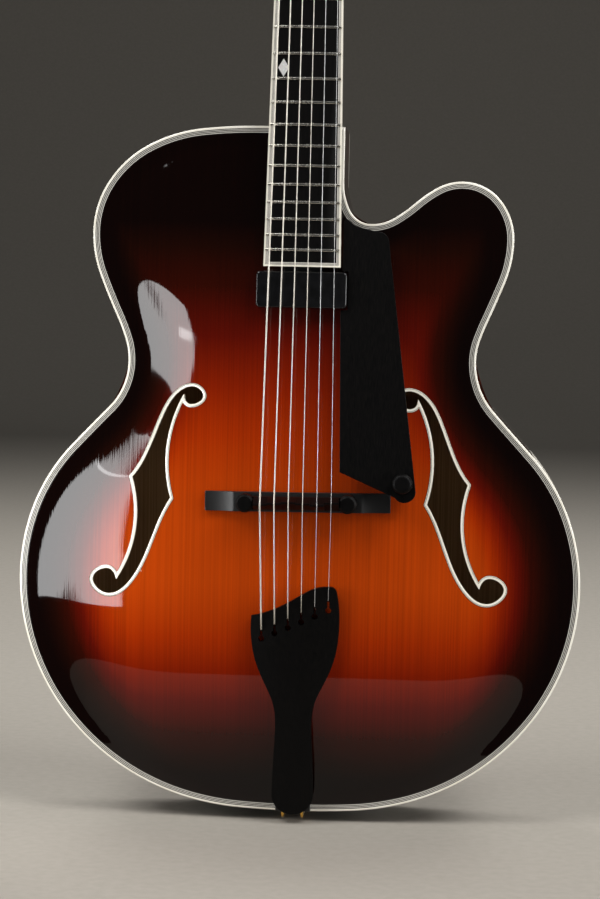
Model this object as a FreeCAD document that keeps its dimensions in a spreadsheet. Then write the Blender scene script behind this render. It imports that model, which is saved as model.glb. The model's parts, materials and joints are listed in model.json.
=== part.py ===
"""Archtop guitar with a rounded cutaway, in millimetres, +Z up along the neck and the front facing -Y.

The origin is the centre of the endpin's outer face, the lowest point of the upright instrument.
Driving sizes live in the sheet; shapes are worked out from them in three nested frames:
the body (tail at zero), the neck (tilted back) and the headstock (tilted further).
"""
import FreeCAD, Part

import math
import os
import re

import Sketcher
from FreeCAD import Placement, Rotation, Vector

# Driving sizes, in millimetres; names that end in angle or slant are degrees
SIZES = {
    # Body shell
    "body_length": 526.5, "lower_bout": 432.4, "rim_depth": 76, "plate_edge": 5,
    "top_rise": 19, "back_rise": 19, "plate_centre": 5.5, "recurve_step": 0.8, "edge_ledge": 6.5,
    "tail_slope_run": 175, "neck_slope_run": 150, "arch_softness": 14, "arch_grid": 13,
    "overrun": 20,
    "rib_thickness": 2.5, "lining_width": 7, "lining_depth": 14,
    "binding_width": 1.8, "purfling_width": 4.2, "purfling_depth": 1.5,
    "f_binding_width": 2.6,
    "neck_block_length": 62, "neck_block_reach": 36, "tail_block_width": 70, "tail_block_length": 38,
    "tone_bar_width": 8, "tone_bar_length": 300, "tone_bar_start": 110, "tone_bar_spacing": 82,
    "tone_bar_slant": 3,
    # Neck and fingerboard
    "scale_length": 635, "nut_width": 44.45, "nut_thickness": 5, "nut_stand": 2.6, "nut_fall": 1.5,
    "board_end_width": 58.2, "board_thickness": 6.5, "board_radius": 305, "board_overhang": 12.6,
    "board_binding": 3.6, "neck_rise": 21, "neck_angle": 4,
    "neck_depth_at_nut": 15, "neck_depth_at_heel": 18, "extension_thickness": 5,
    "extension_inset": 4,
    "tenon_width": 24, "tenon_length": 28, "tenon_depth": 84,
    "heel_root_reach": 92, "heel_upper_reach": 50, "heel_lower_reach": 31, "heel_cap_reach": 25,
    "heel_cap_width": 36, "heel_cap_thickness": 2.5,
    "fret_width": 2.4, "fret_height": 1.1, "fret_inset": 1.2,
    "inlay_length": 13.5, "inlay_width": 8.5, "inlay_depth": 1.8, "inlay_offset": 17.5, "inlay_drop": 1.4,
    # Headstock
    "head_angle": 14, "head_length": 178, "head_half_width": 38.5, "head_crest": 14,
    "head_wood": 14, "veneer_thickness": 2, "head_scarf": 24, "head_scarf_edge": 3,
    "volute_length": 26, "volute_width": 34,
    "rod_width": 6, "rod_depth": 9, "rod_root": 18, "rod_nut_radius": 2.8, "rod_nut_length": 6,
    "rod_bore_radius": 1.6, "rod_stub_length": 3.5, "rod_pocket_length": 27, "rod_pocket_width": 11,
    "rod_fit": 0.06,
    "rod_cover_length": 36, "rod_cover_base": 21, "rod_cover_tip": 10, "rod_cover_thickness": 2,
    "rod_cover_setback": 1, "cover_screw_radius": 1.1, "cover_screw_length": 7,
    "cover_screw_head": 2, "cover_screw_dome": 0.8, "cover_screw_inset": 3.4,
    # Tuners
    "tuner_first": 44, "tuner_pitch": 41, "post_inset": 9.5, "post_radius": 3, "post_waist": 2.4,
    "post_height": 16, "post_string_height": 9, "post_waist_span": 8, "post_hole": 1, "post_tip": 1.4,
    "post_fit": 0.06, "bushing_radius": 4.6, "bushing_flange": 6.2, "bushing_lip": 1.4,
    "bushing_depth": 8, "housing_depth": 10.5, "housing_width": 18, "housing_length": 23,
    "housing_round": 2.5, "housing_offset": 3.5, "housing_floor": 1.5,
    "worm_offset": 7.4, "worm_drop": 5.2, "key_radius": 2, "key_fit": 0.06, "key_seat": 6,
    "key_collar": 3.2, "key_collar_length": 2, "key_reach": 16, "button_length": 15,
    "button_width": 19, "button_thickness": 8.5, "button_round": 3.4, "button_socket": 9,
    "tab_length": 6.5, "tab_width": 8, "tab_thickness": 1.8,
    "tuner_screw_radius": 1.2, "tuner_screw_length": 9, "tuner_screw_head": 2.3, "tuner_screw_dome": 1.3,
    # Strings
    "nut_spread": 37.5, "bridge_spread": 53.6, "string_at_nut": 1.9, "string_at_bridge": 5,
    "compensation": 2.2, "string_bend": 5, "string_fit": 0.1, "ball_radius": 1.8,
    "gauge_1": 0.3, "gauge_2": 0.38, "gauge_3": 0.56, "gauge_4": 0.8, "gauge_5": 1.02, "gauge_6": 1.27,
    # Bridge
    "bridge_slant": 0.6, "bridge_length": 141, "bridge_width": 14.8, "bridge_top": 26,
    "bridge_end": 4.5, "bridge_scoop": 23, "bridge_relief_width": 42, "bridge_relief_height": 3,
    "post_span": 77.5, "screw_radius": 2, "screw_length": 15, "screw_sink": 6,
    "screw_fit": 0.06, "wheel_radius": 7.1, "wheel_thickness": 3, "wheel_lift": 2.2, "wheel_notch": 0.6,
    "saddle_boss": 6.9, "saddle_gap": 0.1, "saddle_boss_height": 9.5, "saddle_bevel": 1.6,
    "saddle_width": 9.6, "saddle_wall": 5.5, "saddle_ridge": 1.2, "saddle_notch_fit": 0.12,
    "saddle_stagger": 0.9,
    # Tailpiece and endpin
    "tailpiece_gap": 63.6, "tailpiece_half_width": 33.7, "tailpiece_thickness": 7.5,
    "tailpiece_high": 31, "tailpiece_low": 13.5, "tailpiece_crown": 150,
    "tail_spread": 50.6, "keyhole_setback": 41.1, "keyhole_step": 4.6, "keyhole_radius": 2.3,
    "keyslot_width": 1.7, "keyslot_length": 6.2, "keyslot_lip": 3.2, "ball_pocket": 2.3,
    "wire_radius": 1.2, "wire_half_span": 7.4, "wire_sink": 14, "wire_drop": 4, "wire_bend": 4,
    "tail_saddle_width": 27, "tail_saddle_length": 5.4, "tail_saddle_inset": 0.9, "tail_saddle_round": 1.2,
    "tail_saddle_fit": 0.1,
    "endpin_reach": 8, "endpin_shank": 5.9, "endpin_head": 6.4, "endpin_head_length": 4.2,
    "endpin_depth": 31, "jack_radius": 3.2, "jack_depth": 26, "endpin_groove": 2.5,
    # Pickguard, pickup and volume control
    "guard_drop": 4.4, "guard_thickness": 3.6, "guard_width": 54, "guard_past_board": 37.9,
    "guard_left": 30.4, "guard_to_bridge": 15.9, "guard_knob": 79.5, "guard_tip": 9.2,
    "guard_support_radius": 4, "guard_support_across": 55, "guard_support_rise": 87,
    "guard_notch_fit": 0.9,
    "knob_radius": 7.65, "knob_height": 9.5, "knob_dome": 3.2, "knob_gap": 0.3, "knob_shaft": 3,
    "knob_shaft_length": 9, "pot_radius": 8, "pot_height": 8, "pot_bush": 3.9, "pot_fit": 0.06,
    "pickup_width": 68.4, "pickup_length": 27.2, "pickup_height": 8.9, "pickup_drop": 0.8,
    "pickup_gap": 3.6, "pickup_corner": 3, "pickup_edge": 0.9, "pickup_tab_width": 30,
    "pickup_tab_height": 2.9,
}

FRETS = 21
BODY_FRET = 14
STRINGS = 6
WHEEL_NOTCHES = 20
OUTLINE_SAMPLES = 420
F_SAMPLES = 40

# Half outlines from the tail up: across as a share of the half lower bout, up as a share of the
# body's length, and the heading of the edge in degrees
BASS_SHARES = [
    (0, 0, 0), (0.394, 0.0161, 15.6), (1, 0.3378, 90), (0.8182, 0.532, 132.9), (0.6192, 0.6568, 90),
    (0.6633, 0.7217, 65), (0.7524, 0.8423, 90), (0.5605, 0.9697, 151.2), (0.1665, 1, 180),
]
TREBLE_SHARES = BASS_SHARES[:4] + [
    (0.6124, 0.6665, 90), (0.6465, 0.7201, 66.5), (0.7352, 0.8422, 90), (0.5506, 0.925, 180),
    (0.3891, 0.894, 221.4), (0.2322, 0.8617, 180), (0.1336, 0.9206, 90),
]

# How full the arching is: under 1 the hollow by the edge is narrow and the middle is broad
ARCH_FULLNESS_SHARE = 0.7
ARCH_CROWN_SHARE = 0.8

# Bass sound hole: across and up as shares of the half lower bout and the body's length
F_UPPER_CUSP_SHARE = (-0.414, 0.6106)
F_UPPER_EYE_SHARES = [(-0.3770, 0.5968), (-0.3423, 0.6087), (-0.3654, 0.6210), (-0.3978, 0.6215)]
F_OUTER_RUN_SHARES = [(-0.4487, 0.6068), (-0.4917, 0.5755), (-0.5296, 0.5356)]
F_OUTER_NICK_SHARE = (-0.5943, 0.4881)
F_OUTER_SWEEP_SHARE = (-0.5727, 0.4302)
F_LOWER_CUSP_SHARE = (-0.6438, 0.3381)
F_LOWER_EYE_SHARES = [(-0.6892, 0.3533), (-0.7308, 0.3381), (-0.6915, 0.3187), (-0.6522, 0.3183)]
F_INNER_RUN_SHARES = [(-0.5944, 0.3371), (-0.5389, 0.3789), (-0.4949, 0.4264)]
F_INNER_NICK_SHARE = (-0.4533, 0.4596)
F_INNER_SWEEP_SHARE = (-0.4741, 0.5166)

# Headstock side from the nut up: across as a share of its half width, up as a share of its length
HEAD_SIDE_SHARES = [(0.5773, 0), (0.665, 0.045), (0.785, 0.13), (0.86, 0.27), (0.99, 0.86)]
HEAD_SHOULDER_SHARE = (1, 0.9)
HEAD_BULGE_SHARE = 0.004

# Heel slices from the fingerboard back: width as a share of the neck's, depth as a share of the heel's
HEEL_SHARES = [(1, 0), (0.97, 0.22), (0.84, 0.55)]

# Deepest part of the scoop at a bridge end: shares of its length from the tip and of its rise
SCOOP_SHARE = (0.62, 0.2)

# Tailpiece sides from the waist of its stem: shares of its half width and its length
TAIL_SIDE_SHARES = [(0.469, 0.075), (0.464, 0.15), (0.419, 0.33), (0.472, 0.49), (0.669, 0.575),
                    (0.873, 0.665), (0.994, 0.795)]
TAIL_BASS_CORNER_SHARE = (-0.985, 0.868)
TAIL_TREBLE_CORNER_SHARES = [(1, 0.885), (0.96, 0.955), (0.875, 0.996)]
TAIL_CREST_SHARES = [(0.75, 1), (0.48, 0.994), (-0.036, 0.942), (-0.558, 0.891)]

# Pickguard corners: across and up as shares of its width and length from its lower left corner
GUARD_SHOULDER_SHARE = (0, 0.97)
GUARD_NOTCH_SHARES = (0, 0.083, -0.015)
GUARD_HEEL_SHARE = (0.03, 0.038)
GUARD_CROWN_SHARES = [(0.045, 0.993), (0.13, 0.975), (0.24, 0.961), (0.40, 0.951), (0.53, 0.945)]
GUARD_CORNER_SHARES = [(0.61, 0.93), (0.642, 0.905)]
GUARD_TIP_SHARES = [(1.08, -0.6), (0.8, -1.3), (0.2, -1.55), (-0.6, -1.15)]

doc = FreeCAD.newDocument("archtop_guitar")
sheet = doc.addObject("Spreadsheet::Sheet", "size")
for row, (alias, amount) in enumerate(SIZES.items(), start=1):
    sheet.set(f"A{row}", alias)
    sheet.set(f"B{row}", str(amount))
    sheet.setAlias(f"B{row}", alias)
doc.recompute()

sub_parts = []


class Measures:
    """The sheet's cells as attributes, so that a length reads as mm.rim_depth."""

    def __getattr__(self, alias):
        return float(sheet.get(alias))


mm = Measures()


# Small builders shared by the sub-parts

def formula(text):
    """Turns plain size names in a sum into references to the sheet's cells."""
    return re.sub(r"[a-z]\w*", lambda word: f"size.{word[0]}" if word[0] in SIZES else word[0], text)


def bind(thing, formulas):
    for name, text in formulas.items():
        thing.setExpression(name, formula(text))


def keep(thing, label, frame=None):
    """Names a finished sub-part, places it and puts it on the list of parts."""
    thing.Label = label
    if frame is not None:
        thing.Placement = frame.multiply(thing.Placement)
    sub_parts.append(thing)
    return thing


def feature(label, shape, frame=None):
    thing = doc.addObject("Part::Feature", label)
    thing.Shape = shape
    return keep(thing, label, frame)


def new_body(name):
    return doc.addObject("PartDesign::Body", name)


def new_sketch(body, plane, name):
    sketch = body.newObject("Sketcher::SketchObject", name)
    support = next(item for item in body.Origin.OriginFeatures if item.Role == plane)
    sketch.AttachmentSupport = [(support, "")]
    sketch.MapMode = "FlatFace"
    return sketch


def loop_sketch(body, plane, corners, name="outline"):
    """A closed outline of straight edges, each corner a pair of formulas."""
    sketch = new_sketch(body, plane, name)
    spots = [Vector(sheet.evalExpression(a), sheet.evalExpression(b), 0) for a, b in corners]
    count = len(spots)
    for i in range(count):
        sketch.addGeometry(Part.LineSegment(spots[i], spots[(i + 1) % count]), False)
    for i in range(count):
        sketch.addConstraint(Sketcher.Constraint("Coincident", i, 2, (i + 1) % count, 1))
        for kind, text, place in (("DistanceX", corners[i][0], spots[i].x),
                                  ("DistanceY", corners[i][1], spots[i].y)):
            index = sketch.addConstraint(Sketcher.Constraint(kind, -1, 1, i, 1, place))
            sketch.setExpression(f"Constraints[{index}]", formula(text))
    return sketch


def circle_sketch(body, plane, circles, name="circles"):
    """Circles given as formulas for the centre's two places and the radius."""
    sketch = new_sketch(body, plane, name)
    for i, (across, up, radius) in enumerate(circles):
        spot = Vector(sheet.evalExpression(across), sheet.evalExpression(up), 0)
        sketch.addGeometry(Part.Circle(spot, Vector(0, 0, 1), sheet.evalExpression(radius)), False)
        for kind, text, place in (("DistanceX", across, spot.x), ("DistanceY", up, spot.y)):
            index = sketch.addConstraint(Sketcher.Constraint(kind, -1, 1, i, 3, place))
            sketch.setExpression(f"Constraints[{index}]", formula(text))
        index = sketch.addConstraint(Sketcher.Constraint("Radius", i, sheet.evalExpression(radius)))
        sketch.setExpression(f"Constraints[{index}]", formula(radius))
    return sketch


def turned_body(name, corners):
    """A piece turned about the body's Z axis from a radius and height profile."""
    body = new_body(name)
    sketch = loop_sketch(body, "XZ_Plane", corners)
    turn = body.newObject("PartDesign::Revolution", "turning")
    turn.Profile = sketch
    turn.ReferenceAxis = (sketch, ["V_Axis"])
    turn.Angle = 360
    doc.recompute()
    return body


def padded_body(name, sketch_maker, length):
    """A piece padded up from a sketch on the body's XY plane."""
    body = new_body(name)
    pad = body.newObject("PartDesign::Pad", "pad")
    pad.Profile = sketch_maker(body)
    bind(pad, {"Length": length})
    doc.recompute()
    return body


def soften(body, kind, edges, size):
    """Adds a fillet or chamfer on the edges of the body's tip that pass the test."""
    tip = body.Tip
    names = [f"Edge{i}" for i, edge in enumerate(tip.Shape.Edges, start=1) if edges(edge)]
    dressing = body.newObject(f"PartDesign::{kind}", kind.lower())
    dressing.Base = (tip, names)
    bind(dressing, {"Radius" if kind == "Fillet" else "Size": size})
    doc.recompute()
    return body


def line(a, b):
    return Part.LineSegment(a, b).toShape()


def arc(a, b, c):
    return Part.Arc(a, b, c).toShape()


def curve(points):
    spline = Part.BSplineCurve()
    spline.interpolate(points)
    return spline.toShape()


def closed(edges):
    return Part.Wire(Part.__sortEdges__(edges))


def prism(wire, low, high):
    """A solid from an outline in the XZ plane, between two depths along Y."""
    face = Part.Face(wire)
    face.translate(Vector(0, low, 0))
    return face.extrude(Vector(0, high - low, 0))


def ring(outer, inner, low, high):
    return prism(outer, low, high).cut(prism(inner, low - mm.overrun, high + mm.overrun))


def block(x0, x1, y0, y1, z0, z1):
    return Part.makeBox(x1 - x0, y1 - y0, z1 - z0, Vector(x0, y0, z0))


def placed(shape, frame):
    """A copy of a shape moved by a frame."""
    copy = shape.copy()
    copy.Placement = frame.multiply(copy.Placement)
    return copy


def tube(points, bend, radius):
    """A round wire along straight runs with a tangent arc at each inner point."""
    edges = []
    start = points[0]
    for before, corner, after in zip(points, points[1:], points[2:]):
        back = (before - corner).normalize()
        ahead = (after - corner).normalize()
        half = back.getAngle(ahead) / 2
        reach = bend / math.tan(half)
        first = corner + back * reach
        last = corner + ahead * reach
        middle = corner + (back + ahead).normalize() * (bend / math.sin(half) - bend)
        edges += [line(start, first), arc(first, middle, last)]
        start = last
    edges.append(line(start, points[-1]))
    heading = (points[1] - points[0]).normalize()
    section = Part.Wire(Part.makeCircle(radius, points[0], heading))
    return Part.Wire(edges).makePipeShell([section], True, False)


# Frames

def body_depth(height):
    """Depth along Y of a height above the flat front edge of the rim."""
    return -(mm.rim_depth / 2 + height)


def fret_place(number):
    """Distance of a fret from the nut along the fingerboard."""
    return mm.scale_length * (1 - 2 ** (-number / 12))


TILT_AXIS = Vector(1, 0, 0)
OUTWARD = Vector(0, -1, 0)
FACING_FRONT = Rotation(TILT_AXIS, 90)

half_bout = mm.lower_bout / 2
front_glue = -(mm.rim_depth / 2 - mm.plate_edge)
back_glue = -front_glue
nut_up = fret_place(BODY_FRET)
board_end = nut_up - fret_place(FRETS) - mm.board_overhang

body_frame = Placement(Vector(0, 0, mm.endpin_reach), Rotation())
neck_in_body = Placement(Vector(0, body_depth(mm.neck_rise), mm.body_length),
                         Rotation(TILT_AXIS, -mm.neck_angle))
head_in_neck = Placement(Vector(0, mm.board_thickness, nut_up + mm.nut_thickness),
                         Rotation(TILT_AXIS, -mm.head_angle))
neck_frame = body_frame.multiply(neck_in_body)
head_frame = neck_frame.multiply(head_in_neck)
body_in_neck = neck_in_body.inverse()


def flat(share, across, up, left=0, low=0):
    """A point in the XZ plane from a pair of shares."""
    return Vector(left + share[0] * across, 0, low + share[1] * up)


def board_width(up):
    """Fingerboard width at a height in the neck's frame."""
    grown = (nut_up - up) / (nut_up - board_end)
    return mm.nut_width + (mm.board_end_width - mm.nut_width) * grown


def bowed(across):
    """Depth that the fingerboard's round top falls by at a distance from its middle."""
    return across ** 2 / (2 * mm.board_radius)


# Body outline, arching and strings, which several sub-parts share

def biarc(start, start_angle, end, end_angle):
    """Point and heading where two arcs meet that leave and arrive along given headings."""
    leave = Vector(math.cos(start_angle), 0, math.sin(start_angle))
    arrive = Vector(math.cos(end_angle), 0, math.sin(end_angle))
    chord = end - start
    spread = 2 * (1 - leave.dot(arrive))
    along = chord.dot(leave + arrive)
    reach = (-along + math.sqrt(along ** 2 + spread * chord.dot(chord))) / spread
    meeting = (start + end + (leave - arrive) * reach) * 0.5
    step = (meeting - start).normalize()
    turned = step * (2 * leave.dot(step)) - leave
    return meeting, turned


def arc_from(start, heading, end):
    """The arc that leaves a point along a heading and reaches another point."""
    chord = end - start
    bisector = (heading + chord.normalize()).normalize()
    half_turn = heading.getAngle(chord) / 2
    middle = start + bisector * (chord.Length / 2 / math.cos(half_turn))
    return arc(start, middle, end)


def side_nodes(shares):
    """Points and headings up one half of the outline, with the meeting point of each pair of arcs."""
    nodes = []
    spots = [(flat(share, half_bout, mm.body_length), math.radians(share[2])) for share in shares]
    for (start, start_angle), (end, end_angle) in zip(spots, spots[1:]):
        nodes.append((start, Vector(math.cos(start_angle), 0, math.sin(start_angle))))
        nodes.append(biarc(start, start_angle, end, end_angle))
    last, last_angle = spots[-1]
    nodes.append((last, Vector(math.cos(last_angle), 0, math.sin(last_angle))))
    return nodes


treble_nodes = side_nodes(TREBLE_SHARES)
bass_nodes = [(Vector(-spot.x, 0, spot.z), Vector(heading.x, 0, -heading.z))
              for spot, heading in reversed(side_nodes(BASS_SHARES))]


def inset(distance):
    """The body outline moved inwards: up the treble side, across the neck end, down the bass side."""
    def moved(spot, heading):
        return spot + Vector(-heading.z, 0, heading.x) * distance

    edges = []
    for side in (treble_nodes, bass_nodes):
        for (start, heading), (end, end_heading) in zip(side, side[1:]):
            edges.append(arc_from(moved(start, heading), heading, moved(end, end_heading)))
    wall_top = moved(*treble_nodes[-1])
    bass_shoulder = moved(*bass_nodes[0])
    corner = Vector(wall_top.x, 0, bass_shoulder.z)
    neck_end = [line(wall_top, corner), line(corner, bass_shoulder)]
    treble_count = len(treble_nodes) - 1
    return Part.Wire(edges[:treble_count] + neck_end + edges[treble_count:])


outline = inset(0)


def swell(share):
    """Rises from 0 to 1 with a hollow start and a rounded end."""
    held = min(max(share, 0), 1) ** ARCH_FULLNESS_SHARE
    return (1 - math.cos(math.pi * held)) / 2


def edge_distances(acrosses, ups):
    """Softened distance to the outline at each grid point, zero outside it."""
    samples = [(point.x, point.z) for point in outline.discretize(OUTLINE_SAMPLES + 1)[:-1]]
    spacing = outline.Length / OUTLINE_SAMPLES
    rows = []
    for x in acrosses:
        row = []
        for z in ups:
            inside = False
            total = 0
            before_x, before_z = samples[-1]
            for sample_x, sample_z in samples:
                if (sample_z > z) != (before_z > z):
                    crossing = sample_x + (z - sample_z) * (before_x - sample_x) / (before_z - sample_z)
                    inside = inside != (x < crossing)
                total += math.exp(-math.hypot(x - sample_x, z - sample_z) / mm.arch_softness)
                before_x, before_z = sample_x, sample_z
            share = total * spacing / (2 * mm.arch_softness)
            row.append(max(-mm.arch_softness * math.log(share), 0) if inside else 0)
        rows.append(row)
    return rows


def grid_line(low, high):
    count = math.ceil((high - low) / mm.arch_grid)
    return [low + (high - low) * i / count for i in range(count + 1)]


grid_across = grid_line(-half_bout - mm.overrun, half_bout + mm.overrun)
grid_up = grid_line(-mm.overrun, mm.body_length + mm.overrun)
grid_distance = edge_distances(grid_across, grid_up)


def arch_face(rise, start, base):
    """The carved surface: a long arch times a cross arch, as heights above the rim's front edge."""
    widest = [max(row[j] for row in grid_distance) for j in range(len(grid_up))]
    surface = []
    for x, distances in zip(grid_across, grid_distance):
        points = []
        for z, distance, most in zip(grid_up, distances, widest):
            long_arch = (swell((z - start) / mm.tail_slope_run)
                         * swell((mm.body_length - start - z) / mm.neck_slope_run))
            cross_arch = swell((distance - start) / max(most - start, start) / ARCH_CROWN_SHARE)
            points.append(Vector(x, body_depth(base + rise * long_arch * cross_arch), z))
        surface.append(points)
    spline = Part.BSplineSurface()
    spline.interpolate(surface)
    return spline.toShape()


FAR = 4 * mm.rim_depth
lining_line = mm.rib_thickness + mm.lining_width
inner_base = mm.recurve_step - mm.plate_edge
top_face = arch_face(mm.top_rise, mm.edge_ledge, 0)
under_top = top_face.extrude(Vector(0, FAR, 0))


def over(face):
    return face.extrude(Vector(0, -FAR, 0))


def block_prints():
    """Footprints of the neck and tail blocks, as boxes through the whole body."""
    rib_line = mm.rib_thickness
    wall = TREBLE_SHARES[-1][0] * half_bout
    neck_print = block(-mm.neck_block_reach, wall - rib_line, -FAR, FAR,
                       mm.body_length - rib_line - mm.neck_block_length, mm.body_length - rib_line)
    tail_print = block(-mm.tail_block_width / 2, mm.tail_block_width / 2, -FAR, FAR,
                       0, rib_line + mm.tail_block_length)
    return neck_print, tail_print


neck_print, tail_print = block_prints()


def plate_hollow(rise):
    """The space under a carved plate, inside the linings and clear of the blocks."""
    inner_face = arch_face(rise - mm.plate_centre - inner_base, lining_line, inner_base)
    hollow = prism(inset(lining_line), -FAR, front_glue).cut(over(inner_face))
    return hollow.cut(neck_print).cut(tail_print)


def carved_plate(outer_face, hollow):
    """A plate arched outside and in, on the front of the rim and inside its binding."""
    return prism(inset(mm.binding_width), -FAR, front_glue).cut(over(outer_face)).cut(hollow)


top_hollow = plate_hollow(mm.top_rise)
tenon = block(-mm.tenon_width / 2, mm.tenon_width / 2, body_depth(mm.neck_rise - mm.board_thickness),
              body_depth(mm.neck_rise - mm.board_thickness - mm.tenon_depth),
              mm.body_length - mm.tenon_length, mm.body_length)


def f_hole():
    """The bass sound hole's outline, drawn as eight runs between its cusps, eyes and nicks."""
    def spot(share):
        return flat(share, half_bout, mm.body_length)

    upper_cusp, lower_cusp = spot(F_UPPER_CUSP_SHARE), spot(F_LOWER_CUSP_SHARE)
    outer_nick, inner_nick = spot(F_OUTER_NICK_SHARE), spot(F_INNER_NICK_SHARE)
    upper = [spot(share) for share in F_UPPER_EYE_SHARES]
    lower = [spot(share) for share in F_LOWER_EYE_SHARES]
    return Part.Wire([
        curve([upper_cusp, upper[0], upper[1], upper[2], upper[3]]
              + [spot(share) for share in F_OUTER_RUN_SHARES] + [outer_nick]),
        arc(outer_nick, spot(F_OUTER_SWEEP_SHARE), lower_cusp),
        curve([lower_cusp, lower[0], lower[1], lower[2], lower[3]]
              + [spot(share) for share in F_INNER_RUN_SHARES] + [inner_nick]),
        arc(inner_nick, spot(F_INNER_SWEEP_SHARE), upper_cusp),
    ])


def redrawn(wire):
    """The same outline with each run of offset splines drawn again as one plain spline."""
    edges = []
    run = []
    for edge in wire.OrderedEdges:
        if edge.Curve.TypeId != "Part::GeomCircle":
            run.append(edge)
            continue
        if run:
            edges.append(curve(Part.Wire(run).discretize(F_SAMPLES)))
            run = []
        edges.append(edge)
    return closed(edges)


f_opening = f_hole()
f_edge = redrawn(f_opening.makeOffset2D(mm.f_binding_width))


def both_sides(shape):
    return [shape, shape.mirror(Vector(), Vector(1, 0, 0))]


def string_share(number, spread):
    """Distance from the middle of string 1 to 6, treble to bass."""
    return spread * (0.5 - (number - 1) / (STRINGS - 1))


saddle_up = nut_up - mm.scale_length - mm.compensation
bridge_spot = neck_in_body.multVec(Vector(0, 0, saddle_up))
bridge_in_body = Placement(Vector(0, 0, bridge_spot.z), Rotation(Vector(0, 1, 0), -mm.bridge_slant))
bridge_frame = body_frame.multiply(bridge_in_body)

# What lies beside the bridge keeps its distance from it when a length changes
tail_reach = bridge_spot.z - mm.tailpiece_gap
guard_foot = bridge_spot.z + mm.guard_to_bridge
guard_head = neck_in_body.multVec(Vector(0, 0, board_end)).z + mm.guard_past_board


def saddle_point(number):
    """Where a string crosses the saddle, in the body's frame."""
    across = string_share(number, mm.bridge_spread)
    stagger = mm.saddle_stagger * (1 if number in (1, 4) else -1 if number in (2, 6) else 0)
    up = saddle_up + across * math.tan(math.radians(mm.bridge_slant)) + stagger
    return neck_in_body.multVec(Vector(across, bowed(across) - mm.string_at_bridge, up))


def nut_point(number):
    across = string_share(number, mm.nut_spread)
    return neck_in_body.multVec(Vector(across, bowed(across) - mm.string_at_nut, nut_up))


def tail_height(up):
    """Height of the tailpiece's crown above the rim at a place up the body."""
    return mm.tailpiece_low + (mm.tailpiece_high - mm.tailpiece_low) * up / tail_reach


def crown_fall(across):
    return across ** 2 / (2 * mm.tailpiece_crown)


def keyhole(number):
    """Across and up of a string's keyhole in the tailpiece."""
    up = tail_reach - mm.keyhole_setback + mm.keyhole_step * (STRINGS - number)
    return string_share(number, mm.tail_spread), up


def head_edge(up):
    """Half width of the headstock's straight side at a height in its own frame."""
    low, high = HEAD_SIDE_SHARES[-2], HEAD_SIDE_SHARES[-1]
    share = (up / mm.head_length - low[1]) / (high[1] - low[1])
    return mm.head_half_width * (low[0] + (high[0] - low[0]) * share)


def tuner_spot(number):
    """Across and up of a tuner's post: strings 6, 5, 4 rise on the bass side, 1, 2, 3 on the treble."""
    step = number - 1 if number <= 3 else STRINGS - number
    up = mm.tuner_first + mm.tuner_pitch * step
    across = head_edge(up) - mm.post_inset
    return across if number <= 3 else -across, up


def tuner_frame(number):
    """A tuner's frame on the treble side: Z out of the headstock's face, Y up it, X outwards."""
    across, up = tuner_spot(number)
    return Placement(Vector(abs(across), 0, up), FACING_FRONT)


def on_side(shape, number):
    """Moves a tuner's piece to its post, mirrored for the bass side, in the headstock's frame."""
    moved = placed(shape, tuner_frame(number))
    return moved if number <= 3 else moved.mirror(Vector(), Vector(1, 0, 0))


def post_end(number):
    """Where a string enters its tuner post, in the body's frame."""
    across, up = tuner_spot(number)
    in_neck = head_in_neck.multVec(Vector(across, -mm.post_string_height, up))
    return neck_in_body.multVec(in_neck)


def string_radius(number):
    return getattr(mm, f"gauge_{number}") / 2


def string_line(number):
    """The route of a string from its keyhole over the saddle and nut to its tuner post."""
    across, hole = keyhole(number)
    up = hole + mm.keyslot_length
    skin = tail_height(up) - crown_fall(across)
    lift = string_radius(number) * 2
    return [
        Vector(across, body_depth(skin - mm.keyslot_lip - mm.ball_radius), up - mm.keyslot_width / 2),
        Vector(across, body_depth(skin + lift), up + mm.keyslot_width),
        saddle_point(number), nut_point(number), post_end(number),
    ]


def string_shape(number, extra=0):
    return tube(string_line(number), mm.string_bend, string_radius(number) + extra)


# Body shell

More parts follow.
